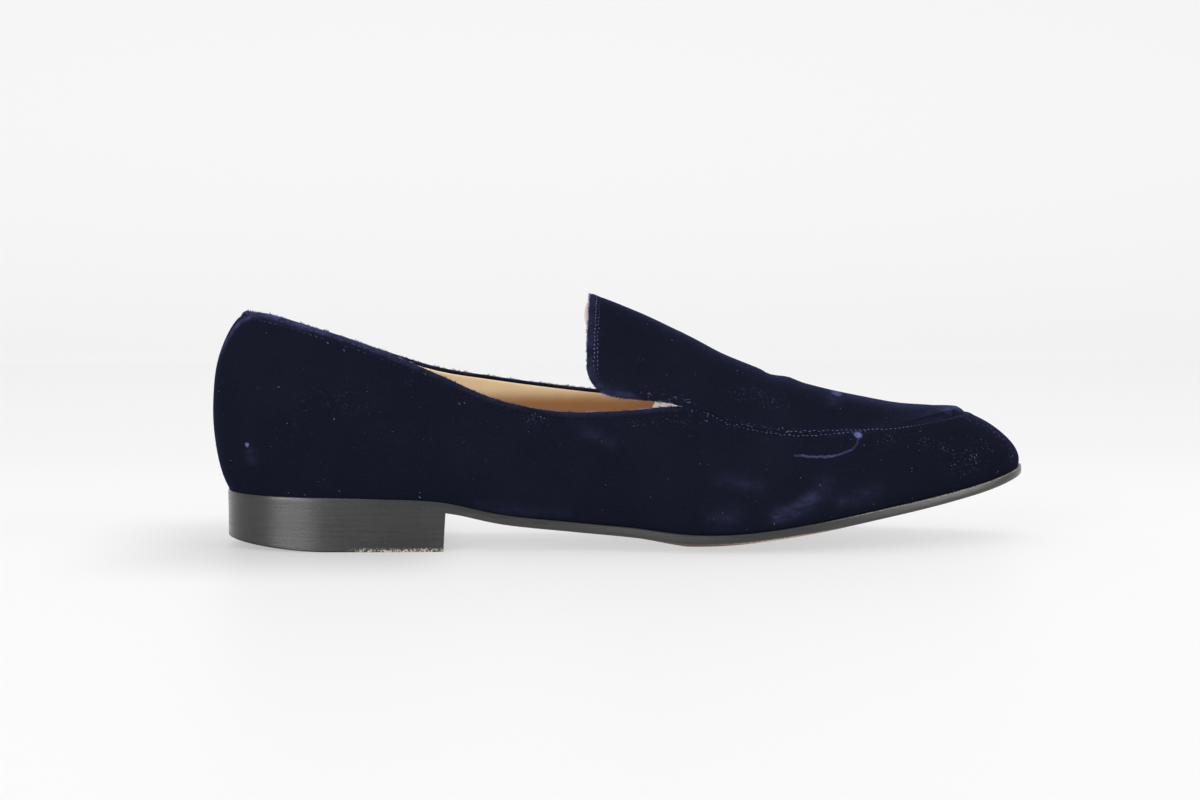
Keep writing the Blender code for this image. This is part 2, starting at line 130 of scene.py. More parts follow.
# The ridge of apron and tongue above the rail, as shares of the instep's rise.
RIDGE_FIRST_ROW = 7
RIDGE = (1.190, 1.000, 0.734, 0.652, 0.512, 0.333, 0.172, 0.088, 0.033, 0.000)
ARCH_FOOT_IN = 0.22  # handle at the foot of the apron's arch, as shares of its half span
ARCH_FOOT_UP = 0.50  # and of its rise
ARCH_TOP_OUT = 0.50  # handle at the ridge
WAIST_ROW = 5  # where the sole's margin starts to grow
ARCH_ROW = 8  # and where it is full
BALL_ROW = 9  # the outsole's belly is deepest here
BELLY_GROWTH = (0.25, 0.75)  # linear and cubic share of the belly's growth from breast to ball
BELLY_TOE_LOSS = 0.6  # share of the belly that is gone at the toe
WEAR_CURVE = 1.7  # power of the heel's worn curve

# Soft folds of the upper: depth (a ridge where it is below 0) and half width, then the line that
# each follows on the lateral side. All of it in millimetres.
FOLDS = (
    (0.50, 2.4, ((187.6, 1, 55.8), (187.2, -8, 55.6), (186.0, -13, 54.4), (183.0, -22, 50.6))),
    (-0.36, 3.2, ((193.6, 1, 53.9), (193.2, -8, 53.6), (191.5, -18, 50.5))),
    (0.28, 1.5, ((175.6, -25.6, 50.0), (185.8, -24.0, 47.9), (193.5, -23.5, 46.0))),
    (-0.20, 1.8, ((174.0, -23.0, 51.5), (184.0, -21.5, 50.0), (191.0, -20.5, 48.8))),
    (0.22, 1.5, ((170.5, -29.6, 47.8), (179.0, -28.4, 46.4), (186.0, -27.4, 45.2))),
    (0.20, 1.3, ((159.5, -33.5, 48.5), (165.0, -31.0, 49.5))),
    (0.16, 1.2, ((158.5, -34.0, 45.0), (163.0, -34.5, 42.0))),
    (0.14, 2.2, ((148.0, -35.5, 42.5), (157.0, -36.5, 37.0), (164.0, -37.5, 33.0))),
    (-0.16, 3.0, ((120.0, -33.0, 39.0), (130.0, -34.0, 35.0), (140.0, -35.5, 30.0))),
    (0.18, 3.2, ((196.0, -38.0, 26.0), (206.0, -36.5, 22.0), (214.0, -34.5, 19.0))),
    (0.16, 2.6, ((181.0, -39.5, 24.0), (188.0, -40.0, 18.0), (192.0, -40.3, 12.0))),
    (0.12, 4.0, ((60.0, -30.0, 46.0), (85.0, -31.0, 38.0), (100.0, -31.5, 32.0))),
)

# Where the pile of the velvet is pressed down, painted lighter as sheen, with painted highlights at the
# apron's tip and the toe's top: strength and half width, then the line. These marks are broad and go
# into the mesh.
PRESSED_SHEEN = (
    (0.07, 1.9, ((122.5, -33.0, 39.4), (127.4, -33.6, 38.0))),
    (0.05, 1.8, ((127.4, -33.6, 38.0), (131.0, -34.4, 35.2))),
    (0.07, 2.2, ((166.0, -40.0, 24.5), (173.9, -40.4, 23.2), (178.0, -40.0, 22.0))),
    (0.22, 2.2, ((184.5, -40.8, 12.4), (190.9, -40.5, 14.6), (196.5, -39.8, 18.5))),
    (0.07, 2.8, ((198.2, -39.2, 19.0), (200.5, -38.5, 22.5))),
    (0.08, 2.6, ((206.0, -37.6, 17.0), (212.9, -36.0, 17.9), (217.0, -34.5, 19.5))),
    (0.07, 2.8, ((164.0, -40.4, 11.0), (170.0, -40.4, 12.5))),
    (0.05, 2.0, ((88.0, -28.4, 15.6), (103.2, -30.6, 13.2), (116.0, -32.0, 12.4))),
    (0.45, 2.4, ((247.0, -8.0, 42.8), (250.0, -3.5, 43.4), (251.0, 4.0, 43.4))),
    (0.10, 1.8, ((13.6, -22.7, 32.6), (14.0, -22.9, 30.6))),
    (0.42, 1.5, ((4.2, -4.5, 64.0), (6.4, -6.0, 70.0), (9.8, -8.0, 75.0), (14.0, -11.0, 77.5))),
    (0.30, 1.5, ((12.0, -8.6, 77.6), (20.0, -15.0, 76.6), (27.0, -18.6, 75.0), (36.0, -21.4, 72.6))),
    (0.15, 3.0, ((254.0, -9.0, 43.0), (260.0, -7.5, 39.5), (266.0, -5.0, 34.0), (269.0, -3.5, 30.0))),
    (0.09, 2.6, ((207.6, -12.0, 48.8), (206.0, -16.0, 47.0))),
)

# Where the pile is frayed into light specks in the pressed pile's sheen colour, with a painted speckled
# glow along the toe's top edge: strength and half width, then the line
FRAYED_SHEEN = (
    (0.9, 1.7, ((150.6, -32.5, 50.2), (154.8, -33.2, 49.0), (158.0, -34.6, 46.4), (163.0, -34.9, 43.9))),
    (0.8, 1.2, ((163.0, -34.9, 43.9), (170.0, -34.4, 41.9), (178.0, -33.6, 40.4), (186.0, -32.9, 39.2))),
    (0.5, 1.1, ((186.0, -32.9, 39.2), (200.0, -31.0, 38.2))),
    (0.5, 1.8, ((141.5, -31.5, 52.6), (147.0, -32.4, 50.6))),
    (0.4, 2.4, ((172.0, -25.5, 51.2), (180.0, -22.5, 50.8), (188.0, -24.0, 47.6))),
    (0.25, 1.6, ((137.0, -33.9, 42.8), (148.0, -34.6, 42.6), (156.0, -35.2, 42.8))),
    (0.45, 2.2, ((222.0, -28.4, 36.6), (224.0, -27.6, 37.0))),
    (0.45, 2.2, ((233.0, -25.8, 35.4), (236.0, -25.0, 34.6))),
    (0.40, 2.2, ((241.9, -23.8, 32.5), (245.0, -23.0, 30.4))),
    (0.60, 2.4, ((252.4, -19.0, 30.4), (253.7, -18.6, 26.8))),
    (0.50, 2.4, ((257.5, -14.4, 33.2), (260.1, -12.8, 32.0))),
    (0.30, 3.0, ((246.0, -22.8, 27.0), (250.0, -21.0, 25.4))),
    (0.35, 2.2, ((104.0, -31.0, 44.5), (109.0, -31.6, 43.0))),
    (0.13, 3.0, ((30.0, -25.0, 52.0), (48.0, -28.0, 47.5))),
    (0.80, 2.6, (
        (250.5, -8.0, 43.6), (256.0, -7.5, 41.5), (262.0, -5.5, 37.5),
        (267.0, -4.5, 32.0), (269.3, -4.0, 28.5),
    )),
    (0.35, 2.0, ((224.0, -4.0, 47.0), (236.0, -4.0, 45.6))),
)

# Fine marks of pressed pile, painted lighter as sheen, drawn by the velvet's nodes
FINE_SHEEN_MARKS = (
    (0.16, 0.45, ((190.6, -36.6, 31.8), (193.0, -36.2, 31.6))),
    (0.27, 0.52, ((193.0, -36.2, 31.6), (195.7, -36.1, 31.2), (201.0, -35.4, 31.1), (204.1, -34.9, 31.4))),
    (0.17, 0.46, ((204.1, -34.9, 31.4), (207.2, -34.0, 32.2), (210.1, -32.9, 33.2))),
    (0.12, 0.40, ((210.1, -32.9, 33.2), (211.6, -31.8, 34.6), (212.4, -30.6, 36.2), (212.6, -29.8, 37.2))),
    (0.72, 1.60, ((212.4, -29.2, 37.5), (212.5, -29.1, 37.7))),
    (0.80, 0.85, ((12.8, -22.3, 34.9), (12.9, -22.3, 34.8))),
    (0.34, 2.00, ((208.8, -2.0, 50.4), (209.6, -4.6, 50.0), (208.6, -8.5, 49.6))),
)

# Where lint has gathered on the velvet: fibres and spread, then the place
LINT = (
    (5, 1.3, (234.6, -23.2, 38.6)),
    (5, 2.2, (234.8, -26.0, 34.9)),
    (7, 2.4, (223.4, -27.8, 36.9)),
    (9, 2.0, (259.2, -13.4, 32.3)),
    (15, 2.6, (253.3, -18.8, 28.6)),
    (7, 2.2, (243.4, -23.4, 31.6)),
    (4, 2.6, (246.0, -23.0, 26.8)),
    (4, 2.2, (251.0, -17.3, 35.8)),
    (3, 1.6, (262.8, -11.9, 24.6)),
    (4, 2.0, (230.0, -29.0, 26.0)),
    (3, 0.6, (138.5, -34.0, 41.3)),
    (4, 2.0, (132.4, -33.3, 41.6)),
    (5, 1.4, (143.3, -32.4, 51.4)),
    (8, 3.0, (154.8, -33.2, 49.0)),
    (4, 1.4, (190.0, -23.6, 46.8)),
    (5, 1.6, (190.1, -32.2, 39.4)),
    (8, 5.0, (183.0, -24.0, 48.5)),
    (3, 1.6, (179.0, -35.8, 35.8)),
    (6, 2.4, (141.4, -25.2, 62.6)),
    (2, 0.6, (166.9, -15.0, 61.8)),
    (3, 0.7, (44.8, -24.1, 65.8)),
    (3, 0.8, (44.1, -27.8, 51.0)),
    (8, 3.2, (54.2, -28.9, 47.5)),
    (5, 2.0, (64.6, -27.7, 54.4)),
    (6, 2.4, (83.5, -28.7, 49.1)),
    (8, 3.4, (30.0, -25.5, 48.0)),
    (5, 3.0, (106.0, -31.2, 44.0)),
)

# A second row of stitches on the apron, above its seam. The medial side has it mirrored.
SEAM_SWITCH = 0.217  # ahead of this the seam's own row gives way to the second one, in metres
SEAM_ROW = (
    (187.6, -32.3, 39.0), (193.0, -31.9, 39.1), (203.2, -30.0, 39.3), (216.9, -26.9, 39.3),
    (226.4, -24.6, 39.6), (232.3, -22.2, 40.0), (238.0, -19.4, 40.6),
)

# Mesh density
PER_ROW = 10  # stations for each row of the tables
FINE = 160  # fine points from which a section's rows are read
COLUMNS = 14  # across a plate
LAST_ROW = len(FEATHER) - 1
TOE = LAST_ROW * PER_ROW
AROUND = 2 * TOE
NOTCH = NOTCH_ROW * PER_ROW

# Distances from an edge or seam at which the velvet gets its rows, in millimetres
NEAR_ROWS = (0, 0.35, 0.7, 1.05, 1.4, 1.75, 2.1, 2.45, 2.8, 3.2, 3.7, 4.1, 4.5, 4.9, 5.5, 6.4, 7.6)
LINING_ROWS = (0, 1.2, 2.4, 3.6, 5.4, 7.6)
WALL_ROWS = 22
APRON_ROWS = 14
CORNER_TURNS = 14
ROLL_TURNS = 7
MEDIAL_SHARE = 0.8  # how strong the medial side's folds and marks are beside the lateral ones
MEDIAL_SHIFT = -0.002  # where they lie beside the lateral ones mirrored, in metres
LINING_DROP = 0.0016  # the lining's edge stops this far below the velvet's
LINING_CREEP = 0.0034  # how far it sticks out behind the upper part of the tongue
VAMP_LINING_START = 152.5  # the vamp's cloth lining starts here, in millimetres from the heel
WAVE = 0.00009  # height of the soft waves in the velvet, in metres
TUCK = ((0.25, -0.35), (0.9, -0.55), (2.5, -0.2), (5.0, 0.3))  # inwards and up from the feather line

# Relief of the velvet at its seam, stitch rows and edges, in metres
APEX_RUN = 0.03  # the apron's raised edge climbs more gently towards its front, over this length
APEX_WIDER = 1.7  # and there its run has grown by this many times
SEAM_SWELL = (0.00025, 0.0018, 0.0011)  # the vamp beside the seam: height, place and width
SEAM_GROOVE = (0.0002, 0.0005)  # the seam itself: depth and width
TONGUE_ROW_WIDTH = 0.00045  # width of the groove under a stitch row of the tongue
COLLAR_ROW_WIDTH = 0.0005
BETWEEN_ROWS = (0.0030, 0.0006)  # the swell between the tongue's rows: place and width
EDGE_SWELL = (0.0014, 0.0011)  # the swell along the free edge
EDGE_REACH = 0.012  # the edge's relief ends here
TONGUE_TUCK = (0.0003, 0.0012)  # the tongue's top edge is drawn in: depth and width
TONGUE_TUCK_FROM = (0.073, 0.008)  # from this height on, growing over this rise
VELVET_RUN_BACK = 0.0012  # how far the velvet's rolled edge runs back inside
LINING_RUN_BACK = 0.002
CREEP_HEIGHT = (0.0777, 0.0062)  # the lining has crept out most at this height; width of that place
CREEP_FADE = (0.0015, 0.004)  # from the tongue's edge: where it starts to fade, and over what length
WAVE_START = 0.006  # the soft waves begin within this distance of the edge

# Pressed pile along seam and edges, painted lighter as sheen: strength, place and width of the band, in
# metres
SEAM_BAND = (0.05, 0.0005, 0.0008)
COLLAR_BAND = (0.11, 0.0004, 0.0012)
TONGUE_BAND = (0.12, 0.0010, 0.0020)
REAR_BAND = 0.38  # so much stronger is the collar's band at the back, a painted rim sheen
REAR_FADE = (0.03, 0.05)  # where that starts to fade, from the back of the shoe, and over what length

# Loose pile and lint, in metres
TUFT = 0.0011  # length of a tuft along the edge
PILE_ROUND = 0.00045  # radius of the crest that the pile stands round
PILE_SPREAD = 1.25  # how far round the crest it stands, to either side, in radians
PILE_ROOT = 0.00015  # depth of its root
PILE_LEAN = (0.45, 0.2)  # how unevenly it leans along the edge and across it
PILE_WAIST = 0.3  # where one of its fibres is thickest
LINT_SCATTER = 0.0008  # how far strewn lint lies from the middle of a face
LINT_LIFT = 0.00005  # height of lint above the velvet

# Stitches
STITCH_LOOK = 0.0008  # a row's direction is read over this length, in metres
STITCH_TURN = 0.08  # how unevenly a stitch turns off it, in radians
STITCH_SINK = (-0.1, 0.2)  # height of a stitch on the surface, in thicknesses of the thread

# Sole, heel and sock, in metres
TOP_RUB = 0.5  # strength of the rubbed line on the sole's top edge
TOP_RUB_FROM = (0.190, 0.03)  # where it starts, from the back of the shoe, and over what length it grows
BALL_RUB = (0.184, 0.014)  # where the sole's lower edge is rubbed: place and width
BREAST_NEAR = 0.0008  # points this close to the breast's plane belong to the breast
DARK_FOOT = 0.5  # the heel's lowest edge is dark up to this height, a painted contact shadow, in millimetres
SOCK_EDGE = ((0, 0.0006), (0.0002, 0.0002), (0.0007, 0))  # rounded edge: inwards, and below the top
SOCK_DIP = 0.0006  # the sock is this much lower in its middle
LINING_SHADE = (0.0425, 0.0518)  # painted shade inside the shoe: the lining is darker below these heights

# The floor's own light: before and under the shoe, behind it, on the backdrop and round the heel, where
# it is dimmed as a painted contact shadow
GLOW_NEAR = (0.845, 0.845, 0.848)
GLOW_BEHIND = (0.79, 0.79, 0.793)
GLOW_FAR = (1.0, 0.998, 0.996)
HEEL_SHADOW_GLOW = (0.63, 0.63, 0.633)

# The backdrop's sweep starts here behind the shoe, with this radius, and goes up to this height
SWEEP_START = 1.2
SWEEP_RADIUS = 0.9
SWEEP_TOP = 3.0
SWEEP_TURNS = 24

# The soft panels of light: name, place, size, the power that a user may change and their share of it
LIGHTS = (
    ("key_light", (0.1, 0.5, 1.4), (1.6, 1.2), "key_power", 1),
    ("front_light", (0.1, -1.9, 0.7), (1.8, 0.7), "front_power", 1),
    ("left_light", (-0.90, -1.20, 0.44), (0.9, 0.82), "side_power", 3.1),
    ("right_light", (1.2, -0.6, 0.4), (0.7, 0.7), "side_power", 1.5),
)
LIGHT_AIM = (0, 0, 0.05)

# The camera: place in metres, turn to the side and tilt down in degrees, lens and sensor in millimetres
CAMERA_PLACE = (-0.057344, -0.806982, 0.102660)
CAMERA_TURN = 3.5
CAMERA_TILT = 3.9
CAMERA_LENS = 72
CAMERA_SENSOR = 36


def number(name, default, description, **kind):
    """A number from 0 up that a user may change."""
    return FloatProperty(name=name, default=default, description=description, min=0, **kind)


def length(name, default, description):
    """A length that a user may change."""
    return number(name, default, description, unit="LENGTH", precision=5)


def share(name, default, description):
    """A share from 0 to 1 that a user may change."""
    return number(name, default, description, max=1, subtype="FACTOR")


def power(name, default, description):
    """The power of a light that a user may change."""
    return number(name, default, description, unit="POWER")


def colour(name, default, description):
    """A colour that a user may change."""
    return FloatVectorProperty(
        name=name, default=default, description=description, size=3, min=0, max=1, subtype="COLOR"
    )


class ShoeSizes(bpy.types.PropertyGroup):
    """The sizes that the shoe's lines follow, as in its frame"""

    shoe_length: length("Shoe length", 0.274, "Back of the counter to the tip of the toe")
    heel_width: length("Heel width", 0.0547, "Across the feather line at the heel seat")
    waist_width: length("Waist width", 0.054, "Across the feather line under the arch")
    ball_width: length("Ball width", 0.0755, "Across the feather line at the ball")
    heel_height: length("Heel height", 0.0188, "Floor to the feather line at the back")
    toe_spring: length("Toe spring", 0.0189, "Feather line at the toe above that at the ball")
    ball_edge_lift: length("Ball edge lift", 0.0025, "Floor to the sole's lower edge at the ball")
    counter_height: length("Counter height", 0.0593, "Feather line to the topline at the back")
    quarter_height: length("Quarter height", 0.036, "Feather line to the lowest part of the topline")
    vamp_height: length("Vamp height", 0.0279, "Feather line to the apron seam over the ball")
    instep_rise: length("Instep rise", 0.032, "The tongue's ridge above the topline")
    upper_wall: length("Upper wall", 0.0018, "Velvet, stiffener and lining together")
    lining_thickness: length("Lining thickness", 0.0007, "The lining's share of the wall")
    seam_step: length("Seam step", 0.0009, "How far the apron's edge stands above the vamp")
    seam_step_run: length("Seam step run", 0.0013, "Width of that step")
    seam_fade_run: length("Seam fade run", 0.008, "Where the raised edge has settled into the apron")
    tongue_reach: length("Tongue reach", 0.032, "Length of the tongue behind the notch")
    tongue_lean: length("Tongue lean", 0.0013, "The top of the tongue's edge lies this far ahead")
    tongue_skew: length("Tongue skew", 0.0034, "Its medial end lies this far ahead of the lateral one")
    tongue_corner: length("Tongue corner", 0.0085, "Radius of the tongue's lower corners")
    tongue_slit: length("Tongue slit", 0.0064, "Slit between tongue and quarter at the tongue's edge")
    sole_thickness: length("Sole thickness", 0.0033, "Thickness of the outsole at its edge")
    heel_margin: length("Heel margin", 0.0003, "Outsole beyond the feather line at the heel")
    welt_margin: length("Welt margin", 0.001, "Outsole beyond the feather line round the forepart")
    sole_crown: length("Sole crown", 0.0037, "Belly of the outsole below its edges, at the ball")
    heel_length: length("Heel length", 0.0727, "Back of the heel block to its breast")
    breast_lean: length("Breast lean", 0.0007, "The breast's foot lies this far behind its top")
    heel_wear_run: length("Heel wear run", 0.034, "Length of the worn back of the heel")
    heel_wear_lift: length("Heel wear lift", 0.0033, "How far its back edge is worn off the floor")
    insole_thickness: length("Insole thickness", 0.0022, "Thickness of the insole")
    insole_inset: length("Insole inset", 0.0012, "The insole's edge inside the wall")
    fit_gap: length("Fit gap", 0.0003, "Between two pieces that touch")


class StitchSizes(bpy.types.PropertyGroup):
    """How the shoe is sewn"""

    pitch: length("Pitch", 0.0021, "From one stitch of the collar to the next")
    stitch_length: length("Stitch length", 0.00125, "Thread that shows in one of those stitches")
    fine_pitch: length("Fine pitch", 0.00155, "From one stitch of tongue and apron to the next")
    fine_length: length("Fine stitch length", 0.0008, "Thread that shows in one of those stitches")
    thread: length("Thread", 0.00026, "Thickness of the thread")
    lining_drop: length("Lining row", 0.0031, "The lining's stitch row from the collar's edge")
    collar_first: length("Collar, first row", 0.0016, "First stitch row from the collar's edge")
    collar_drop: length("Collar, second row", 0.0031, "Second stitch row from the collar's edge")
    tongue_first: length("Tongue, first row", 0.0025, "First stitch row from the tongue's edge")
    tongue_second: length("Tongue, second row", 0.0036, "Second stitch row from the tongue's edge")
    pile_count: number("Pile count", 11000, "Loose fibres in a metre of edge")
    pile_length: length("Pile length", 0.0008, "Length of a loose fibre at the collar")
    pile_thickness: length("Pile thickness", 0.0001, "Radius of its root")
    lint_count: IntProperty(
        name="Lint count", default=480, min=0, description="Fibres of lint strewn on the velvet"
    )
    lint_length: length("Lint length", 0.0009, "Length of a fibre of lint")
    lint_thickness: length("Lint thickness", 0.00006, "Radius of its middle")
    groove: length("Groove", 0.00022, "How deep a stitch row pulls the velvet in")
    puff: length("Puff", 0.00022, "How far the velvet stands up beside a stitch row")


class ShoeColours(bpy.types.PropertyGroup):
    """Colours of velvet, leathers, thread and paint"""

    velvet: colour("Velvet", (0.0051, 0.0060, 0.0117), "Velvet seen into the pile")
    sheen: colour("Sheen", (0.34, 0.38, 0.90), "Velvet seen along the pile")
    # Crushed velvet: painted sheen, the lighter tone of pressed pile
    crushed_sheen: colour("Crushed velvet", (0.062, 0.067, 0.165), "Velvet where the pile is pressed down")
    lint: colour("Lint", (0.50, 0.52, 0.62), "Lint caught in the pile")
    thread: colour("Thread", (0.040, 0.045, 0.100), "Sewing thread of the velvet")
    fresh_thread: colour("Fresh thread", (0.13, 0.14, 0.29), "That thread where it is not worn")
    lining_thread: colour("Lining thread", (0.17, 0.095, 0.045), "Sewing thread of the lining")
    lining: colour("Lining", (0.95, 0.76, 0.48), "Lining leather")
    # Lining low down: painted shade inside the shoe, mixed with wear; the sock uses it for worn patches
    lining_shade: colour("Lining low down", (0.36, 0.175, 0.070), "Lining leather low down, browned by wear")
    vamp_lining: colour("Vamp lining", (0.98, 0.95, 0.86), "Lining cloth of the vamp")
    tongue_lining: colour("Tongue lining", (0.46, 0.395, 0.405), "Lining of the tongue")
    # Loose pile: light in colour as painted rim sheen
    pile: colour("Pile", (0.150, 0.148, 0.275), "Loose pile along the velvet's edge")
    edge_paint: colour("Edge paint", (0.0118, 0.0122, 0.0120), "Paint on the sole's edge and the heel")
    bare_leather: colour("Bare leather", (0.46, 0.32, 0.215), "Sole leather where no paint covers it")


class StageSizes(bpy.types.PropertyGroup):
    """Floor and light"""

    floor_reach: length("Floor reach", 3.0, "Half the width of the floor")
    floor_colour: colour("Floor", (0.225, 0.225, 0.226), "Pale floor, as the lights fall on it")
    floor_glow: number("Floor glow", 0.68, "Light of the floor's own")
    daylight: number("Daylight", 0.92, "Strength of the even light")
    dark_front: share("Dark front", 0.22, "Share of the even light that comes from behind the camera")
    front_power: power("Front light", 1.5, "Low soft light")
    key_power: power("Key light", 8.0, "Large soft light from above")
    side_power: power("Side lights", 5.5, "Panels at the sides, each a share of this")


def blend(before, here, after, later, part):
    """Catmull-Rom value a part of the way from here to after."""
    return 0.5 * (
        2 * here
        + (after - before) * part
        + (2 * before - 5 * here + 4 * after - later) * part**2
        + (3 * here - before - 3 * after + later) * part**3
    )


def both_sides(lateral, medial):
    """Rows of the closed loop: lateral from heel to toe, then medial from toe to heel."""
    return np.array(list(lateral) + list(medial)[-2:0:-1])


def smooth_loop(rows):
    """The closed loop through the rows, with PER_ROW stations from each row to the next."""
    around = [np.roll(rows, -shift, 0) for shift in (-1, 0, 1, 2)]
    parts = [blend(*around, k / PER_ROW) for k in range(PER_ROW)]
    return np.stack(parts, 1).reshape(len(rows) * PER_ROW, -1)


def unit(vectors):
    """Vectors of length 1."""
    return vectors / np.maximum(np.linalg.norm(vectors, axis=-1, keepdims=True), 1e-12)


def outward(loop):
    """Unit normals of a loop in plan, pointing away from the shoe."""
    run = np.roll(loop, -1, 0) - np.roll(loop, 1, 0)
    return unit(np.stack([run[:, 1], -run[:, 0]], 1))


def moved_out(loop, margin, rise=0):
    """A loop moved outwards in plan by a margin and up by a rise, one value or one a station."""
    moved = loop.copy()
    moved[:, :2] += outward(loop) * np.reshape(margin, (-1, 1))
    moved[:, 2] += rise
    return moved


def bezier(points, parts):
    """Cubic Bezier over four control points."""
    parts = np.asarray(parts, float)[..., None]
    a, b, c, d = (np.asarray(p, float) for p in points)
    rest = 1 - parts
    return rest**3 * a + 3 * rest**2 * parts * b + 3 * rest * parts**2 * c + parts**3 * d


def lengths(curve):
    """Length along a polyline at each of its points."""
    return np.concatenate([[0], np.cumsum(np.linalg.norm(np.diff(curve, axis=0), axis=1))])


def at_lengths(curve, along, stops):
    """Points of a polyline at some lengths along it."""
    return np.stack([np.interp(stops, along, curve[:, axis]) for axis in range(3)], 1)


def smooth_step(value):
    """0 below 0, 1 above 1 and a soft rise between them."""
    value = np.clip(value, 0, 1)
    return value * value * (3 - 2 * value)


def hump(distance, centre, width):
    """A soft ridge of height 1 at a distance."""
    return np.exp(-(((distance - centre) / width) ** 2))


class Last:
    """The lines that the shoe is built round, worked out from its sizes."""

    def __init__(self, sizes):
        self.sizes = sizes
        self.widths = {"heel": sizes.heel_width, "waist": sizes.waist_width, "ball": sizes.ball_width}
        self.heights = {
            "counter": sizes.counter_height,
            "quarter": sizes.quarter_height,
            "vamp": sizes.vamp_height,
        }
        self.ball_rise = sizes.ball_edge_lift + sizes.sole_thickness + sizes.fit_gap
        self.feather = smooth_loop(both_sides(self.feather_side(-1), self.feather_side(1)))
        self.rail = smooth_loop(both_sides(self.rail_side(-1), self.rail_side(1)))
        self.outward = outward(self.feather)
        self.swell = smooth_loop(both_sides(SWELL, SWELL))
        self.notch_along = self.rail[NOTCH, 0]
        self.tongue_back = self.notch_along - sizes.tongue_reach
        self.sole_edge = moved_out(self.feather, self.sole_margin())
        self.breast = self.sole_edge[0, 0] + sizes.heel_length
        self.shift = np.array(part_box("outsole")[0]) - self.outsole_corner()

    def feather_height(self, row):
        """Height of the feather line at a row of FEATHER."""
        seat = row[4] * (self.sizes.heel_height - self.ball_rise)
        return self.ball_rise + seat + row[5] * self.sizes.toe_spring

    def feather_side(self, sign):
        """Rows of the feather line on one side, -1 lateral or 1 medial."""
        column = 2 if sign < 0 else 3
        return [
            (r[0] * self.sizes.shoe_length, sign * r[column] * self.widths[r[1]], self.feather_height(r))
            for r in FEATHER
        ]

    def rail_side(self, sign):
        """Rows of the topline and the apron seam on one side."""
        column = 1 if sign < 0 else 2
        side = []
        for row, foot in zip(RAIL, FEATHER):
            height = self.feather_height(foot) + self.heights[row[3]] * row[column + 3]
            side.append((row[0] * self.sizes.shoe_length, sign * row[column] * self.widths[foot[1]], height))
        return side

    def sole_margin(self):
        """The sole's margin at each station, growing from heel to forepart."""
        along = self.feather[:, 0] / self.sizes.shoe_length
        start, full = FEATHER[WAIST_ROW][0], FEATHER[ARCH_ROW][0]
        grow = np.clip((along - start) / (full - start), 0, 1)
        return self.sizes.heel_margin + (self.sizes.welt_margin - self.sizes.heel_margin) * grow

    def outsole_corner(self):
        """Lowest corner of the frame's outsole, as these lines give it."""
        return np.array([self.sole_edge[:, 0].min(), self.sole_edge[:, 1].min(), 0])

    def wall_section(self, station):
        """Control points of the side wall's section, from the rail down to the feather line."""
        foot, head, side = self.feather[station], self.rail[station], self.outward[station]
        low_out, low_up, high_out, high_down = self.swell[station]
        height = head[2] - foot[2]
        ball = self.sizes.ball_width
        low = foot + (*(side * low_out * ball), low_up * height)
        high = head + (*(side * high_out * ball), -high_down * height)
        return head, high, low, foot

    def behind_notch(self, along):
        """Length from a place back to the notch, none ahead of it."""
        return np.maximum(self.notch_along - along, 0)

    def edge_inset(self, along, inset):
        """An inset of the free edge, which runs out at the notch."""
        return inset * smooth_step(self.behind_notch(along) / (3 * MM))

    def wall(self, near, inset):
        """Side wall at every station: rows near its top, then even ones down to the feather line."""
        grid = []
        for station in range(AROUND):
            curve = bezier(self.wall_section(station), np.linspace(0, 1, FINE))
            along = lengths(curve)
            first = self.edge_inset(self.rail[station, 0], inset)
            stops = first + np.array(near)
            even = np.linspace(stops[-1], along[-1], WALL_ROWS + 1)[1:]
            grid.append(at_lengths(curve, along, np.concatenate([stops, even])))
        return np.array(grid)

    def rail_at(self, side, position):
        """Point of the rail on one side at a position counted in rows."""
        station = position * PER_ROW
        first = int(min(station, TOE - 1))
        part = station - first
        ends = (first, first + 1) if side < 0 else (AROUND - first, AROUND - first - 1)
        start, stop = self.rail[ends[0] % AROUND], self.rail[ends[1] % AROUND]
        return start * (1 - part) + stop * part

    def ridge_rise(self, position):
        """Height of the ridge above the rail, at a position counted in rows."""
        rows = np.array(RIDGE) * self.sizes.instep_rise
        rows = np.concatenate([[2 * rows[0] - rows[1]], rows, [rows[-2]]])
        place = min(max(position - RIDGE_FIRST_ROW, 0), len(RIDGE) - 1 - 1e-9)
        first = int(place)
        return blend(*rows[first : first + 4], place - first)

    def position_at(self, along):
        """Where the rail reaches a distance along the shoe, counted in rows."""
        return float(np.interp(along, self.rail[: TOE + 1, 0], np.arange(TOE + 1) / PER_ROW))

    def apron_positions(self, inset):
        """Sections of tongue and apron from the tongue's edge to the toe, close at its corner."""
        corner = self.sizes.tongue_corner
        start = self.tongue_back + inset
        turns = np.linspace(0, np.pi / 2, CORNER_TURNS + 1)[:-1]
        turned = [self.position_at(start + (corner - inset) * (1 - np.cos(turn))) for turn in turns]
        flat = self.position_at(self.tongue_back + corner)
        steps = int(round((NOTCH_ROW - flat) * PER_ROW))
        tongue = list(np.linspace(flat, NOTCH_ROW, steps + 1)[:-1])
        return turned + tongue + [station / PER_ROW for station in range(NOTCH, TOE)]

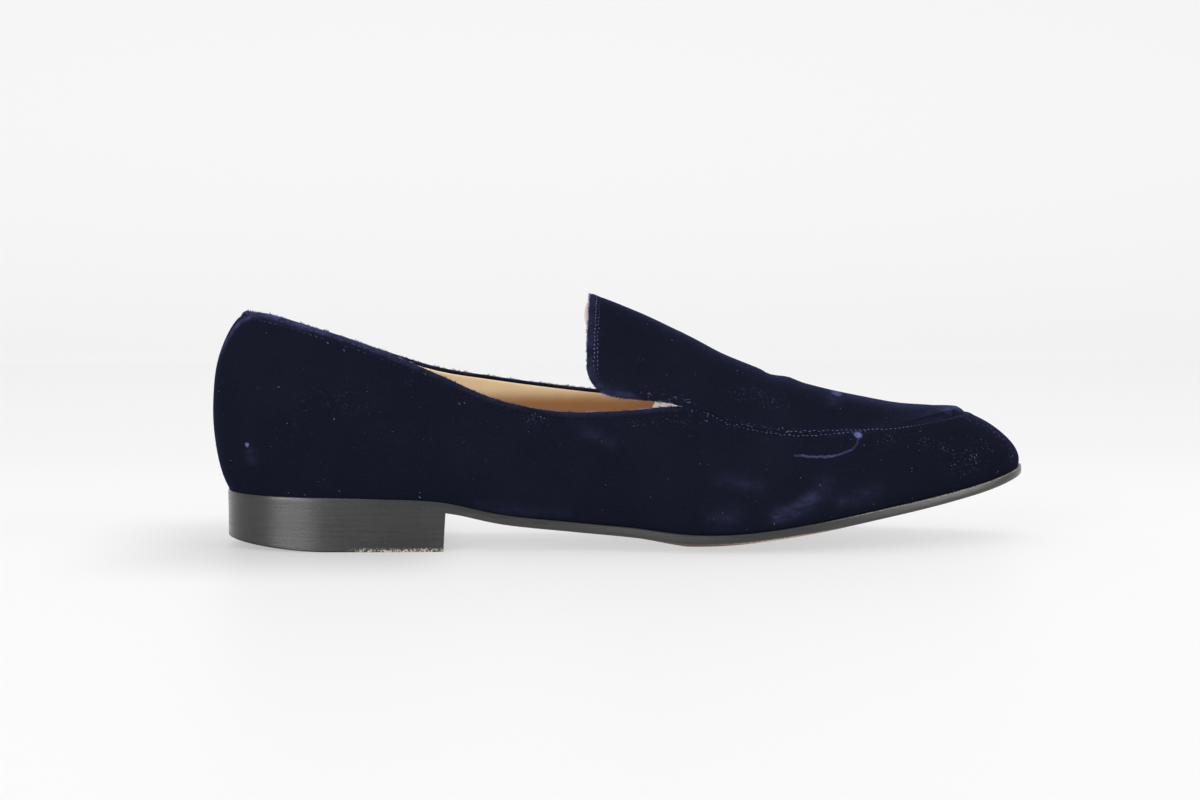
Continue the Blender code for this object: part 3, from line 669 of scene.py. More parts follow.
    def arch(self, side, position, inset):
        """Fine points of one half of an apron section, from its edge up to the ridge."""
        sizes = self.sizes
        feet = [self.rail_at(way, position) for way in (side, -side)]
        ridge = (feet[0][2] + feet[1][2]) / 2 + self.ridge_rise(position)
        for foot in feet:
            foot[2] += sizes.tongue_slit * self.behind_notch(foot[0]) / sizes.tongue_reach
        foot, other = feet
        top = np.array([foot[0], (foot[1] + other[1]) / 2, ridge])
        span = top[1] - foot[1]
        rise = top[2] - foot[2]
        low = foot + (0, ARCH_FOOT_IN * span, ARCH_FOOT_UP * rise)
        high = top - (0, ARCH_TOP_OUT * span, 0)
        curve = bezier((foot, low, high, top), np.linspace(0, 1, FINE))
        behind = self.behind_notch(foot[0]) / sizes.tongue_reach
        if behind > 0:
            up = np.clip((curve[:, 2] - foot[2]) / rise, 0, 1)
            across = 0.5 + (curve[:, 1] - top[1]) / abs(span) / 2
            edge = foot[2] + self.corner_rise(foot[0], inset)
            start = np.interp(edge, curve[:, 2], np.arange(FINE))
            curve[:, 0] += behind * (sizes.tongue_lean * up**2 + sizes.tongue_skew * across)
            places = np.linspace(start, FINE - 1, FINE)
            curve = np.stack([np.interp(places, np.arange(FINE), curve[:, axis]) for axis in range(3)], 1)
        return curve

    def corner_rise(self, along, inset):
        """How far the inset and the rounded corner lift the tongue's lower edge."""
        corner = self.sizes.tongue_corner
        inside = max(corner - (along - self.tongue_back), 0)
        radius = corner - self.edge_inset(along, inset)
        return corner - math.sqrt(max(radius**2 - inside**2, 0))

    def half_arch(self, side, position, near, inset):
        """Rows of one half of an apron section, close at its edge."""
        curve = self.arch(side, position, inset)
        along = lengths(curve)
        near = np.array(near) * min(1, along[-1] / (2 * near[-1]))
        stops = np.concatenate([near, np.linspace(near[-1], along[-1], APRON_ROWS + 1)[1:]])
        return at_lengths(curve, along, stops)


class Build:
    """Points and faces of one piece as it grows."""

    def __init__(self):
        self.points = []
        self.faces = []
        self.slots = []

    def add(self, points):
        """Adds points and gives back their numbers."""
        start = len(self.points)
        self.points.extend(np.asarray(points, float).reshape(-1, 3))
        return np.arange(start, len(self.points))

    def face(self, *corners, slot=0):
        """Adds a face, without the corners that fall together."""
        ring = [int(c) for k, c in enumerate(corners) if c != corners[k - 1]]
        if len(set(ring)) > 2:
            self.faces.append(tuple(ring))
            self.slots.append(slot)

    def strip(self, first, second, slot=0):
        """Faces between two closed rings of points, with one slot or one for each point."""
        slots = np.broadcast_to(slot, len(first))
        for k in range(len(first)):
            j = (k + 1) % len(first)
            self.face(first[k], first[j], second[j], second[k], slot=int(slots[k]))

    def fill(self, rows, slot=0):
        """Faces between rows of points that run across the piece; a row may be a single point."""
        for back, front in zip(rows, rows[1:]):
            for k in range(max(len(back), len(front)) - 1):
                b0, b1 = back[min(k, len(back) - 1)], back[min(k + 1, len(back) - 1)]
                f0, f1 = front[min(k, len(front) - 1)], front[min(k + 1, len(front) - 1)]
                self.face(b0, f0, f1, b1, slot=slot)

    def normals(self):
        """Unit normals at the points."""
        points = np.array(self.points)
        total = np.zeros_like(points)
        for size in (3, 4):
            faces = np.array([f for f in self.faces if len(f) == size], int)
            if len(faces):
                a, b, c, d = (points[faces[:, corner]] for corner in (0, 1, 2, -1))
                normal = np.cross(c - a, d - b)
                for corner in range(size):
                    np.add.at(total, faces[:, corner], normal)
        return unit(total)


def distance_to(points, line, closed=False):
    """Least distance from each point to a polyline."""
    points = np.asarray(points)
    line = np.asarray(line)
    starts, stops = (line, np.roll(line, -1, 0)) if closed else (line[:-1], line[1:])
    best = np.full(len(points), np.inf)
    for start, stop in zip(starts, stops):
        run = stop - start
        part = np.clip((points - start) @ run / max(run @ run, 1e-18), 0, 1)
        best = np.minimum(best, np.linalg.norm(points - start - part[:, None] * run, axis=1))
    return best


def upper_surface(last, near, inset):
    """Outer face of the upper: the side wall all round, with tongue and apron sewn into it.
    Gives back the build, the numbers of the wall's points and of those of each section of tongue
    and apron, and the ring of the free edge."""
    build = Build()
    grid = last.wall(near, inset)
    wall = build.add(grid).reshape(grid.shape[:2])
    for station in range(AROUND):
        ahead = (station + 1) % AROUND
        for row in range(grid.shape[1] - 1):
            build.face(wall[station, row + 1], wall[ahead, row + 1], wall[ahead, row], wall[station, row])
    sections = []
    for position in last.apron_positions(inset):
        arch = np.concatenate([
            last.half_arch(-1, position, near, inset),
            last.half_arch(1, position, near, inset)[-2::-1],
        ])
        if position >= NOTCH_ROW - 1e-9:
            station = int(round(position * PER_ROW))
            inner = build.add(arch[1:-1])
            ids = np.concatenate([[wall[station, 0]], inner, [wall[AROUND - station, 0]]])
        else:
            ids = build.add(arch)
        sections.append(ids)
    build.fill([*sections, [wall[TOE, 0]]])
    tongue = [ids for ids in sections if ids[0] >= wall.size]
    ring = [wall[station % AROUND, 0] for station in range(NOTCH, -NOTCH - 1, -1)]
    ring += [ids[-1] for ids in tongue[::-1]]
    ring += list(tongue[0][-2:0:-1])
    ring += [ids[0] for ids in tongue]
    return build, wall, sections, np.array(ring)


def roll_edge(build, ring, normals, radius, inside, side=1):
    """Rolls the free edge over in a half circle and runs it back for a short way. Gives back its
    crest: points, and the directions out of the edge and across it."""
    points = np.array(build.points)[ring]
    normal = normals[ring] * side
    run = unit(np.roll(points, -1, 0) - np.roll(points, 1, 0))
    out = unit(np.cross(run, normal)) * side
    previous = ring
    for turn in np.linspace(0, np.pi, ROLL_TURNS + 1)[1:]:
        rolled = points - radius * normal + radius * (math.cos(turn) * normal + math.sin(turn) * out)
        current = build.add(rolled)
        build.strip(current, previous) if side > 0 else build.strip(previous, current)
        previous = current
    current = build.add(points - 2 * radius * normal - inside * out)
    build.strip(current, previous) if side > 0 else build.strip(previous, current)
    return points + radius * (out - normal), out, normal


def new_piece(name, build, finishes, shift, smooth=180, painted=None):
    """One named object from a build, in the frame's place, with a painted value at each point."""
    mesh = bpy.data.meshes.new(name)
    points = np.array(build.points) + shift
    mesh.from_pydata(points.tolist(), [], build.faces)
    mesh.polygons.foreach_set("material_index", build.slots)
    for finish in finishes:
        mesh.materials.append(finish)
    if painted is not None:
        values = np.zeros(len(points), np.float32)
        values[: len(painted)] = painted
        mesh.attributes.new("painted", "FLOAT", "POINT").data.foreach_set("value", values)
    mesh.update()
    mesh.shade_smooth()
    if smooth < 180:
        mesh.set_sharp_from_angle(angle=math.radians(smooth))
    piece = bpy.data.objects.new(name, mesh)
    bpy.context.scene.collection.objects.link(piece)
    return piece


def seam_relief(last, points, seam, apron):
    """How far the apron's raised edge and the vamp stand out beside the groove of the seam."""
    sizes = last.sizes
    apex = smooth_step((points[:, 0] - last.rail[TOE, 0]) / APEX_RUN + 1)
    run = sizes.seam_step_run * (1 + APEX_WIDER * apex)
    climb = smooth_step(seam / run)
    settle = 1 - np.clip((seam - run) / (sizes.seam_fade_run - run), 0, 1)
    height, *place = SEAM_SWELL
    depth, width = SEAM_GROOVE
    lift = np.where(apron, sizes.seam_step * climb * settle**2, height * hump(seam, *place))
    return lift - depth * hump(seam, 0, width)


def edge_relief(stitches, edge, tongue):
    """How far the velvet puffs up along its free edge and is pulled in by the stitch rows."""
    collar_row = hump(edge, stitches.collar_drop, COLLAR_ROW_WIDTH)
    tongue_rows = hump(edge, stitches.tongue_first, TONGUE_ROW_WIDTH)
    tongue_rows += hump(edge, stitches.tongue_second, TONGUE_ROW_WIDTH)
    rows = np.where(tongue, tongue_rows, collar_row)
    swell = np.where(tongue, hump(edge, *BETWEEN_ROWS), 0) + hump(edge, *EDGE_SWELL)
    return (stitches.puff * swell - stitches.groove * rows) * (edge < EDGE_REACH)


def velvet_build(last):
    """The velvet outside of the upper, with its seam, stitch grooves, rolled edge and tuck. Gives
    back the build, the painted value of each point and the crest of the edge."""
    sizes = last.sizes
    radius = (sizes.upper_wall - sizes.lining_thickness) / 2
    build, wall, sections, ring = upper_surface(last, np.array(NEAR_ROWS) * MM, radius)
    normals = build.normals()
    points = np.array(build.points)
    edge = distance_to(points, points[ring], closed=True) + radius
    seam = distance_to(points, last.rail[NOTCH : AROUND - NOTCH + 1])
    apron = np.zeros(len(points), bool)
    for ids in sections:
        apron[ids[1:-1]] = True
    tongue = apron & (points[:, 0] < last.notch_along)
    ahead = smooth_step((points[:, 0] - last.notch_along) / sizes.seam_fade_run)
    lift = ahead * seam_relief(last, points, seam, apron)
    lift += (1 - ahead) * edge_relief(bpy.context.scene.loafer_stitches, edge, tongue)
    lift += folds(points, edge)
    depth, width = TONGUE_TUCK
    start, rise = TONGUE_TUCK_FROM
    drawn_in = depth * np.exp(-edge / width) * smooth_step((points[:, 2] - start) / rise)
    lift -= np.where(tongue, drawn_in, 0)
    build.points = list(points + normals * lift[:, None])
    # Painted sheen where the pile is pressed, less the frayed specks
    painted = pressed(points, edge, np.where(points[:, 0] > last.notch_along, seam, 1), tongue)
    crest = roll_edge(build, ring, build.normals(), radius, VELVET_RUN_BACK)
    rolled = np.concatenate([painted, np.tile(painted[ring], ROLL_TURNS + 1)])
    lowest = wall[:, -1]
    for reach, rise in TUCK:
        current = build.add(moved_out(last.feather, -reach * MM, rise * MM))
        build.strip(current, lowest)
        lowest = current
    return build, rolled, crest


def fibre(build, start, stop, across, thickness, waist):
    """A short fibre from one end to the other, thickest at its waist."""
    run = unit(stop - start)
    across = unit(across - run * (across @ run))
    up = np.cross(run, across)
    middle = start + (stop - start) * waist
    corners = [middle + thickness * (across * math.cos(a) + up * math.sin(a)) for a in (0, 2.1, 4.2)]
    root, tip, *ring = build.add([start, stop, *corners])
    for k in range(3):
        build.face(ring[k], ring[(k + 1) % 3], tip)
        build.face(ring[(k + 1) % 3], ring[k], root)


def pile_build(crest, stitches):
    """Loose pile along the crest of the velvet's edge, in tufts."""
    points, out, across = crest
    rng = np.random.default_rng(3)
    build = Build()
    along = lengths(np.concatenate([points, points[:1]]))
    stops = np.sort(rng.uniform(0, along[-1], int(along[-1] * stitches.pile_count)))
    knots = np.arange(0, along[-1], TUFT)
    tufts = np.interp(stops, knots, rng.uniform(0.1, 1.5, len(knots)))
    k = np.searchsorted(along, stops, side="right") - 1
    part = ((stops - along[k]) / (along[k + 1] - along[k]))[:, None]
    after = (k + 1) % len(points)
    roots = points[k] * (1 - part) + points[after] * part
    ups = unit(out[k] * (1 - part) + out[after] * part)
    sides = unit(across[k] * (1 - part) + across[after] * part)
    for root, up, side, tuft in zip(roots, ups, sides, tufts):
        turn = rng.uniform(-PILE_SPREAD, PILE_SPREAD)
        way = up * math.cos(turn) + side * math.sin(turn)
        run = np.cross(up, side)
        foot = root + PILE_ROUND * (way - up) - way * PILE_ROOT
        lean = unit(way + run * rng.normal(0, PILE_LEAN[0]) + side * rng.normal(0, PILE_LEAN[1]))
        tip = foot + lean * stitches.pile_length * tuft * rng.uniform(0.6, 1.1)
        fibre(build, foot, tip, run, stitches.pile_thickness, PILE_WAIST)
    return build


def lint_build(velvet, surface, shift, stitches):
    """Fibres of lint that lie on the velvet, gathered at the places of the table and strewn all over."""
    rng = np.random.default_rng(11)
    build = Build()
    places = []
    for count, spread, place in LINT:
        for side, part in ((1, 1.0), (-1, 0.6)):
            centre = np.array(place) * (1, side, 1) * MM + shift
            places.extend(centre + rng.normal(0, spread * MM / 2, (round(count * part), 3)))
    areas = np.array([face.area for face in velvet.polygons])
    strewn = rng.choice(len(areas), stitches.lint_count, p=areas / areas.sum())
    places.extend(np.array(velvet.polygons[k].center) + rng.normal(0, LINT_SCATTER, 3) for k in strewn)
    for place in places:
        spot, normal, _, _ = surface.find_nearest(Vector(place))
        spot, normal = np.array(spot), np.array(normal)
        run = rng.normal(0, 1, 3)
        run = unit(run - normal * (run @ normal))
        reach = run * stitches.lint_length * rng.uniform(0.15, 0.6) ** 1.3
        middle = spot + normal * LINT_LIFT
        thickness = stitches.lint_thickness * rng.uniform(0.6, 1.3)
        waist = rng.uniform(0.3, 0.7)
        fibre(build, middle - reach, middle + reach, np.cross(normal, run), thickness, waist)
    return build


def lines_of(table):
    """Rows of a table of lines, each also mirrored to the medial side, in metres."""
    for strength, width, line in table:
        line = np.array(line) * MM
        yield strength, width * MM, line
        yield strength * MEDIAL_SHARE, width * MM, line * (1, -1, 1) + (0, MEDIAL_SHIFT, 0)


def folds(points, edge):
    """How far folds and soft waves move the velvet out of its smooth face."""
    move = np.zeros(len(points))
    for depth, width, line in lines_of(FOLDS):
        move -= depth * MM * hump(distance_to(points, line), 0, width)
    x, y, z = points.T
    waves = np.sin(x * 210 + z * 90) * np.sin(z * 260 - x * 60 + 1)
    waves += 0.6 * np.sin(x * 90 - z * 170 + np.sign(y))
    return move + WAVE * waves * smooth_step(edge / WAVE_START)


def strongest(points, table):
    """The strongest of a table's lines at each point."""
    value = np.zeros(len(points))
    for strength, width, line in lines_of(table):
        value = np.maximum(value, strength * hump(distance_to(points, line), 0, width))
    return value


def pressed(points, edge, seam, tongue):
    """How far the pile is pressed down at each point, from 0 to 1, for the velvet's painted sheen, less how
    far it is frayed into light specks.
    """
    start, fade = REAR_FADE
    rear = 1 - smooth_step((points[:, 0] - start) / fade)
    strength, *place = COLLAR_BAND
    collar = np.where(tongue, 0, strength + REAR_BAND * rear) * hump(edge, *place)
    strength, *place = TONGUE_BAND
    tongue_edge = np.where(tongue, strength, 0) * hump(edge, *place)
    strength, *place = SEAM_BAND
    bands = strength * hump(seam, *place), collar, tongue_edge
    return np.maximum.reduce([strongest(points, PRESSED_SHEEN), *bands]) - strongest(points, FRAYED_SHEEN)


def lining_build(last):
    """The lining inside the velvet, with its own rolled edge. It has crept out at the tongue."""
    sizes = last.sizes
    build, wall, _, ring = upper_surface(last, np.array(LINING_ROWS) * MM, LINING_DROP)
    normals = build.normals()
    points = np.array(build.points) - normals * sizes.upper_wall
    start, fade = CREEP_FADE
    rear = 1 - smooth_step((points[:, 0] - last.tongue_back - start) / fade)
    tongue = np.arange(len(points)) >= wall.size
    points[:, 0] -= np.where(tongue, LINING_CREEP * rear * hump(points[:, 2], *CREEP_HEIGHT), 0)
    build.points = list(points)
    build.faces = [face[::-1] for face in build.faces]
    roll_edge(build, ring, normals, sizes.lining_thickness / 2, LINING_RUN_BACK, side=-1)
    return build


def bead(reach, thickness):
    """Points and faces of one stitch along X, seen from outside as a small bead of thread."""
    rings = 5
    sides = 8
    points = []
    for k in range(rings):
        angle = math.pi * (k + 0.5) / rings
        x = -math.cos(angle) * reach / 2
        r = math.sin(angle) ** 0.6 * thickness / 2
        for j in range(sides):
            turn = 2 * math.pi * j / sides
            points.append((x, r * math.cos(turn), r * math.sin(turn)))
    faces = []
    for k in range(rings - 1):
        for j in range(sides):
            i = (j + 1) % sides
            faces.append((k * sides + j, k * sides + i, (k + 1) * sides + i, (k + 1) * sides + j))
    faces.append(tuple(range(sides))[::-1])
    faces.append(tuple((rings - 1) * sides + j for j in range(sides)))
    return np.array(points), faces


def sew(build, line, surface, stitches, rhythm, wander=0.0001, seed=1):
    """Lays stitches along a line on a surface, pressed a little into it. Rhythm is their pitch and
    their length."""
    pitch, stitch_length = rhythm
    rng = np.random.default_rng(seed)
    template, faces = bead(stitch_length, stitches.thread)
    line = np.asarray(line)
    along = lengths(line)
    count = int(along[-1] // pitch)
    stops = (np.arange(count) + 0.5) * along[-1] / count
    places = at_lengths(line, along, stops)
    ahead = at_lengths(line, along, np.minimum(stops + STITCH_LOOK, along[-1]))
    for place, front in zip(places, ahead):
        spot, normal, _, _ = surface.find_nearest(Vector(place))
        spot, normal = np.array(spot), np.array(normal)
        run = front - place
        run = unit(run - normal * (run @ normal))
        cross = np.cross(normal, run)
        turn = rng.normal(0, STITCH_TURN)
        cosine, sine = math.cos(turn), math.sin(turn)
        run, cross = run * cosine + cross * sine, cross * cosine - run * sine
        spot = spot + cross * rng.normal(0, wander) + normal * stitches.thread * rng.uniform(*STITCH_SINK)
        ids = build.add(spot + template @ np.stack([run, cross, normal]))
        for face in faces:
            build.face(*ids[list(face)])


def surface_of(name):
    """A piece's surface, for laying stitches on it."""
    mesh = bpy.data.objects[name].data
    points = [tuple(point.co) for point in mesh.vertices]
    return BVHTree.FromPolygons(points, [tuple(face.vertices) for face in mesh.polygons])


def collar_line(last, drop):
    """A line round the collar at a distance below its edge, from notch to notch."""
    line = []
    for station in range(NOTCH - 1, -NOTCH, -1):
        curve = bezier(last.wall_section(station % AROUND), np.linspace(0, 1, FINE))
        line.append(at_lengths(curve, lengths(curve), [drop])[0])
    return np.array(line)


def tongue_line(last, inset):
    """A line round the tongue at a distance from its edge, from one notch to the other."""
    positions = [p for p in last.apron_positions(inset) if p < NOTCH_ROW - 0.25]
    lateral = [last.arch(-1, p, inset)[0] for p in positions]
    medial = [last.arch(1, p, inset)[0] for p in positions]
    rear = [last.arch(side, positions[0], inset) for side in (-1, 1)]
    across = np.concatenate([rear[0][1:], rear[1][-2:0:-1]])[::4]
    return np.concatenate([lateral[::-1], across, medial])


class Value:
    """A socket of a material, so that shader maths reads as plain expressions."""

    def __init__(self, finish, socket):
        self.finish = finish
        self.socket = socket

    def math(self, operation, *others):
        """One Math node on this value and others."""
        inputs = dict(enumerate((self, *others)))
        return self.finish.node("ShaderNodeMath", {"operation": operation}, inputs)

    def __add__(self, other):
        return self.math("ADD", other)

    def __sub__(self, other):
        return self.math("SUBTRACT", other)

    def __rsub__(self, other):
        return self.finish.node("ShaderNodeMath", {"operation": "SUBTRACT"}, {0: other, 1: self})

    def __mul__(self, other):
        return self.math("MULTIPLY", other)

    __radd__ = __add__
    __rmul__ = __mul__

    def within(self, low, high):
        """0 below low, 1 above high, with a soft rise between them."""
        return self.finish.node(
            "ShaderNodeMapRange",
            {"interpolation_type": "SMOOTHSTEP"},
            {"Value": self, "From Min": low, "From Max": high, "To Min": 0.0, "To Max": 1.0},
        )

    def larger(self, other):
        """The larger of this and another."""
        return self.math("MAXIMUM", other)

    def smaller(self, other):
        """The smaller of this and another."""
        return self.math("MINIMUM", other)


class Nodes:
    """The nodes of one material, or of the sky."""

    def __init__(self, tree, place):
        self.tree = tree
        self.place = self.node("ShaderNodeTexCoord", {}, {}, place)
        parts = self.node("ShaderNodeSeparateXYZ", {}, {0: self.place}).socket.node.outputs
        self.x, self.y, self.z = (Value(self, part) for part in parts)

    def node(self, kind, settings, inputs, output=0):
        """A node with its settings, then the values or links of its sockets."""
        node = self.tree.nodes.new(kind)
        for name, value in settings.items():
            setattr(node, name, value)
        for name, value in inputs.items():
            if isinstance(value, Value):
                self.tree.links.new(value.socket, node.inputs[name])
            else:
                node.inputs[name].default_value = value
        return Value(self, node.outputs[output])

    def vector(self, operation, *values, output="Vector"):
        """One Vector Math node."""
        return self.node("ShaderNodeVectorMath", {"operation": operation}, dict(enumerate(values)), output)

    def mix(self, mask, first, second):
        """A colour between two colours."""
        colours = [c if isinstance(c, Value) else (*c, 1) for c in (first, second)]
        return self.node("ShaderNodeMix", {"data_type": "RGBA"}, {0: mask, 6: colours[0], 7: colours[1]}, 2)

    def noise(self, scale, detail=2.0, roughness=0.5, stretch=None):
        """Noise from 0 to 1; scale counts its features in a metre."""
        vector = self.vector("MULTIPLY", self.place, stretch) if stretch else self.place
        inputs = {"Vector": vector, "Scale": scale, "Detail": detail, "Roughness": roughness}
        return self.node("ShaderNodeTexNoise", {}, inputs)

    def cells(self, scale):
        """Distance to the nearest of scattered points; scale counts them in a metre."""
        return self.node("ShaderNodeTexVoronoi", {}, {"Vector": self.place, "Scale": scale})

    def shaken(self, scale, reach):
        """The place, moved about by noise so that lines drawn at it waver."""
        inputs = {"Vector": self.place, "Scale": scale, "Detail": 2.0}
        noise = self.node("ShaderNodeTexNoise", {}, inputs, "Color")
        centred = self.vector("SUBTRACT", noise, (0.5, 0.5, 0.5))
        return self.vector("MULTIPLY_ADD", centred, (reach, reach, reach), self.place)

    def stroke(self, place, line, width, shift):
        """1 where a place lies along a line of points, fading softly to a width beside it."""
        mark = None
        points = [np.array(point) * MM + shift for point in line]
        for start, stop in zip(points, points[1:]):
            run = stop - start
            offset = self.vector("SUBTRACT", place, tuple(start))
            part = self.vector("DOT_PRODUCT", offset, tuple(run / (run @ run)), output="Value")
            inputs = {0: tuple(run), "Scale": part.larger(0.0).smaller(1.0)}
            along = self.node("ShaderNodeVectorMath", {"operation": "SCALE"}, inputs)
            gap = self.vector("DISTANCE", offset, along, output="Value")
            mark = gap if mark is None else mark.smaller(gap)
        return 1 - mark.within(width * 0.35 * MM, width * 1.15 * MM)

    def bump(self, height, distance, strength=1.0):
        """A Bump node on a height."""
        inputs = {"Height": height, "Distance": distance, "Strength": strength}
        return self.node("ShaderNodeBump", {}, inputs)


class Finish(Nodes):
    """One material: a Principled shader with its constants, and the nodes that feed it."""

    def __init__(self, name, **constants):
        self.material = bpy.data.materials.new(name)
        self.material.use_nodes = True
        self.shader = self.material.node_tree.nodes["Principled BSDF"]
        for socket, value in constants.items():
            self.shader.inputs[socket.replace("_", " ")].default_value = value
        super().__init__(self.material.node_tree, "Object")

    def painted(self):
        """The value that the mesh holds at its points."""
        return self.node("ShaderNodeAttribute", {"attribute_name": "painted"}, {}, "Fac")

    def connect(self, **links):
        """Feeds sockets of the shader and gives back the material."""
        for socket, value in links.items():
            self.tree.links.new(value.socket, self.shader.inputs[socket.replace("_", " ")])
        return self.material


def times(tone, *factors):
    """A colour times one factor, or times one each for red, green and blue."""
    return tuple(c * f for c, f in zip(tone, factors * 3 if len(factors) == 1 else factors))


def marks(finish, table, shift):
    """The lines of a table, drawn on a material with their strengths."""
    place = finish.shaken(600, 0.0008)
    drawn = None
    for strength, width, line in table:
        mark = finish.stroke(place, line, width, shift) * strength
        drawn = mark if drawn is None else drawn.larger(mark)
    return drawn


def velvet_finish(last):
    """Near-black navy velvet: pile that glows where it is seen along, and marks in it, those of pressed pile
    painted lighter as sheen.
    """
    colours = bpy.context.scene.loafer_colours
    finish = Finish(
        "navy_velvet",
        Roughness=1.0,
        Specular_IOR_Level=0.0,
        Sheen_Weight=0.13,
        Sheen_Roughness=0.22,
        Sheen_Tint=(*colours.sheen, 1),
    )
    pile = finish.noise(2600, 3.0, 0.6)
    drift = finish.noise(38, 3.0, 0.55)
    streaks = finish.noise(420, 4.0, 0.65, stretch=(0.5, 1, 1))
    uneven = drift.within(0.35, 0.75) * 0.5 + streaks.within(0.5, 0.8) * 0.35
    tone = finish.mix(uneven, colours.velvet, times(colours.velvet, 1.35))
    tone = finish.mix(pile.within(0.5, 0.75) * 0.6, tone, times(colours.velvet, 2.0))
    painted = finish.painted()
    # Painted sheen: lighter where the pile is pressed
    broad = painted.larger(0.0) * (streaks.within(0.3, 0.7) * 1.1 + pile * 0.3 + 0.2)
    tone = finish.mix(broad.smaller(1.0), tone, colours.crushed_sheen)
    # Painted sheen of the fine marks of pressed pile
    fine = marks(finish, FINE_SHEEN_MARKS, last.shift) * (pile.within(0.3, 0.7) * 0.8 + streaks * 0.3 + 0.25)
    tone = finish.mix(fine.smaller(1.0), tone, times(colours.crushed_sheen, 2.2))
    # Light specks where the pile is frayed, in the sheen colour; along the toe's top a painted speckled glow
    frayed = (painted * -1.0).larger(0.0).smaller(1.0)
    flecks = 1 - finish.cells(1150).within(0.12, 0.36)
    flecks = flecks * finish.noise(620).within(0.44, 0.58) * frayed
    tone = finish.mix(flecks.smaller(1.0), tone, times(colours.crushed_sheen, 1.8))
    height = finish.bump(pile + streaks * 0.5, 0.00025, 0.6)
    return finish.connect(Base_Color=tone, Normal=height)


def pile_finish():
    """Loose pile, coloured light as painted rim sheen, lighter here and there."""
    colours = bpy.context.scene.loafer_colours
    finish = Finish("loose_pile", Roughness=1.0, Specular_IOR_Level=0.0)
    tuft = finish.noise(240, 3.0, 0.6).within(0.4, 0.65)
    return finish.connect(Base_Color=finish.mix(tuft, times(colours.pile, 0.35), times(colours.pile, 1.5)))


def lint_finish():
    """Lint, pale in some places and grey in others."""
    colours = bpy.context.scene.loafer_colours
    finish = Finish("lint", Roughness=1.0, Specular_IOR_Level=0.0)
    pale = finish.noise(300).within(0.46, 0.72)
    return finish.connect(Base_Color=finish.mix(pale, times(colours.lint, 0.14), colours.lint))


def lining_finish(last):
    """Tan lining leather, darker low down as painted shade inside the shoe mixed with wear, with the cloth
    lining of the vamp and the tongue's.
    """
    colours = bpy.context.scene.loafer_colours
    finish = Finish("lining_leather", Roughness=0.55, IOR=1.45, Specular_IOR_Level=0.35)
    grain = finish.cells(1500)
    wear = finish.noise(55, 4.0, 0.6)
    # Painted shade: darker low down inside the shoe, mixed with wear
    low = 1 - finish.z.within(*LINING_SHADE)
    shade_and_wear = (low * 0.95 + wear * 0.3 - 0.1).within(0, 1)
    tone = finish.mix(shade_and_wear, colours.lining, colours.lining_shade)
    front = float(last.shift[0]) + VAMP_LINING_START * MM
    cloth = (finish.x - finish.z * 0.6).within(front - 0.0285, front - 0.0279)
    tongue = finish.z.within(0.0516, 0.0522) * finish.x.within(front - 0.034, front - 0.033)
    tone = finish.mix(cloth, tone, colours.vamp_lining)
    tone = finish.mix(tongue, tone, colours.tongue_lining)
    height = finish.bump(grain + wear * 2.0, 0.0001, 0.4)
    return finish.connect(Base_Color=tone, Normal=height)


def thread_finish(last):
    """Navy thread, worn dark in places and most of all round the waist, and fresher at the upper
    edge of the tongue and along the apron."""
    colours = bpy.context.scene.loafer_colours
    finish = Finish("thread", Roughness=0.8, Specular_IOR_Level=0.12)
    start, _, rise = map(float, last.shift)

    def from_back(low, high):
        return finish.x.within(start + low, start + high)

    twist = finish.noise(3000, 1.0)
    worn = finish.noise(230).within(0.38, 0.62)
    shown = 1 - from_back(0.045, 0.076) * 0.93
    tone = finish.mix(worn * shown, times(colours.thread, 0.13), colours.thread)
    past_edge = finish.x - (start + float(last.tongue_back))
    tongue = (1 - past_edge.within(0.0046, 0.0058)) * finish.z.within(rise + 0.056, rise + 0.064)
    tongue = tongue * past_edge.within(-0.004, -0.003)
    seam = from_back(0.148, 0.160) * 0.5 + from_back(0.180, 0.196) * 0.5
    seam = seam * (1 - from_back(0.228, 0.240))
    fresh = tongue.larger(seam * 0.8) * (worn * 0.6 + 0.4)
    tone = finish.mix(fresh, tone, colours.fresh_thread)
    return finish.connect(Base_Color=tone, Normal=finish.bump(twist, 0.0001))


def lining_thread_finish():
    """Brown thread in the lining."""
    colours = bpy.context.scene.loafer_colours
    finish = Finish("lining_thread", Roughness=0.7)
    twist = finish.noise(3000, 1.0)
    tone = finish.mix(twist, colours.lining_thread, times(colours.lining_thread, 1.5))
    return finish.connect(Base_Color=tone)


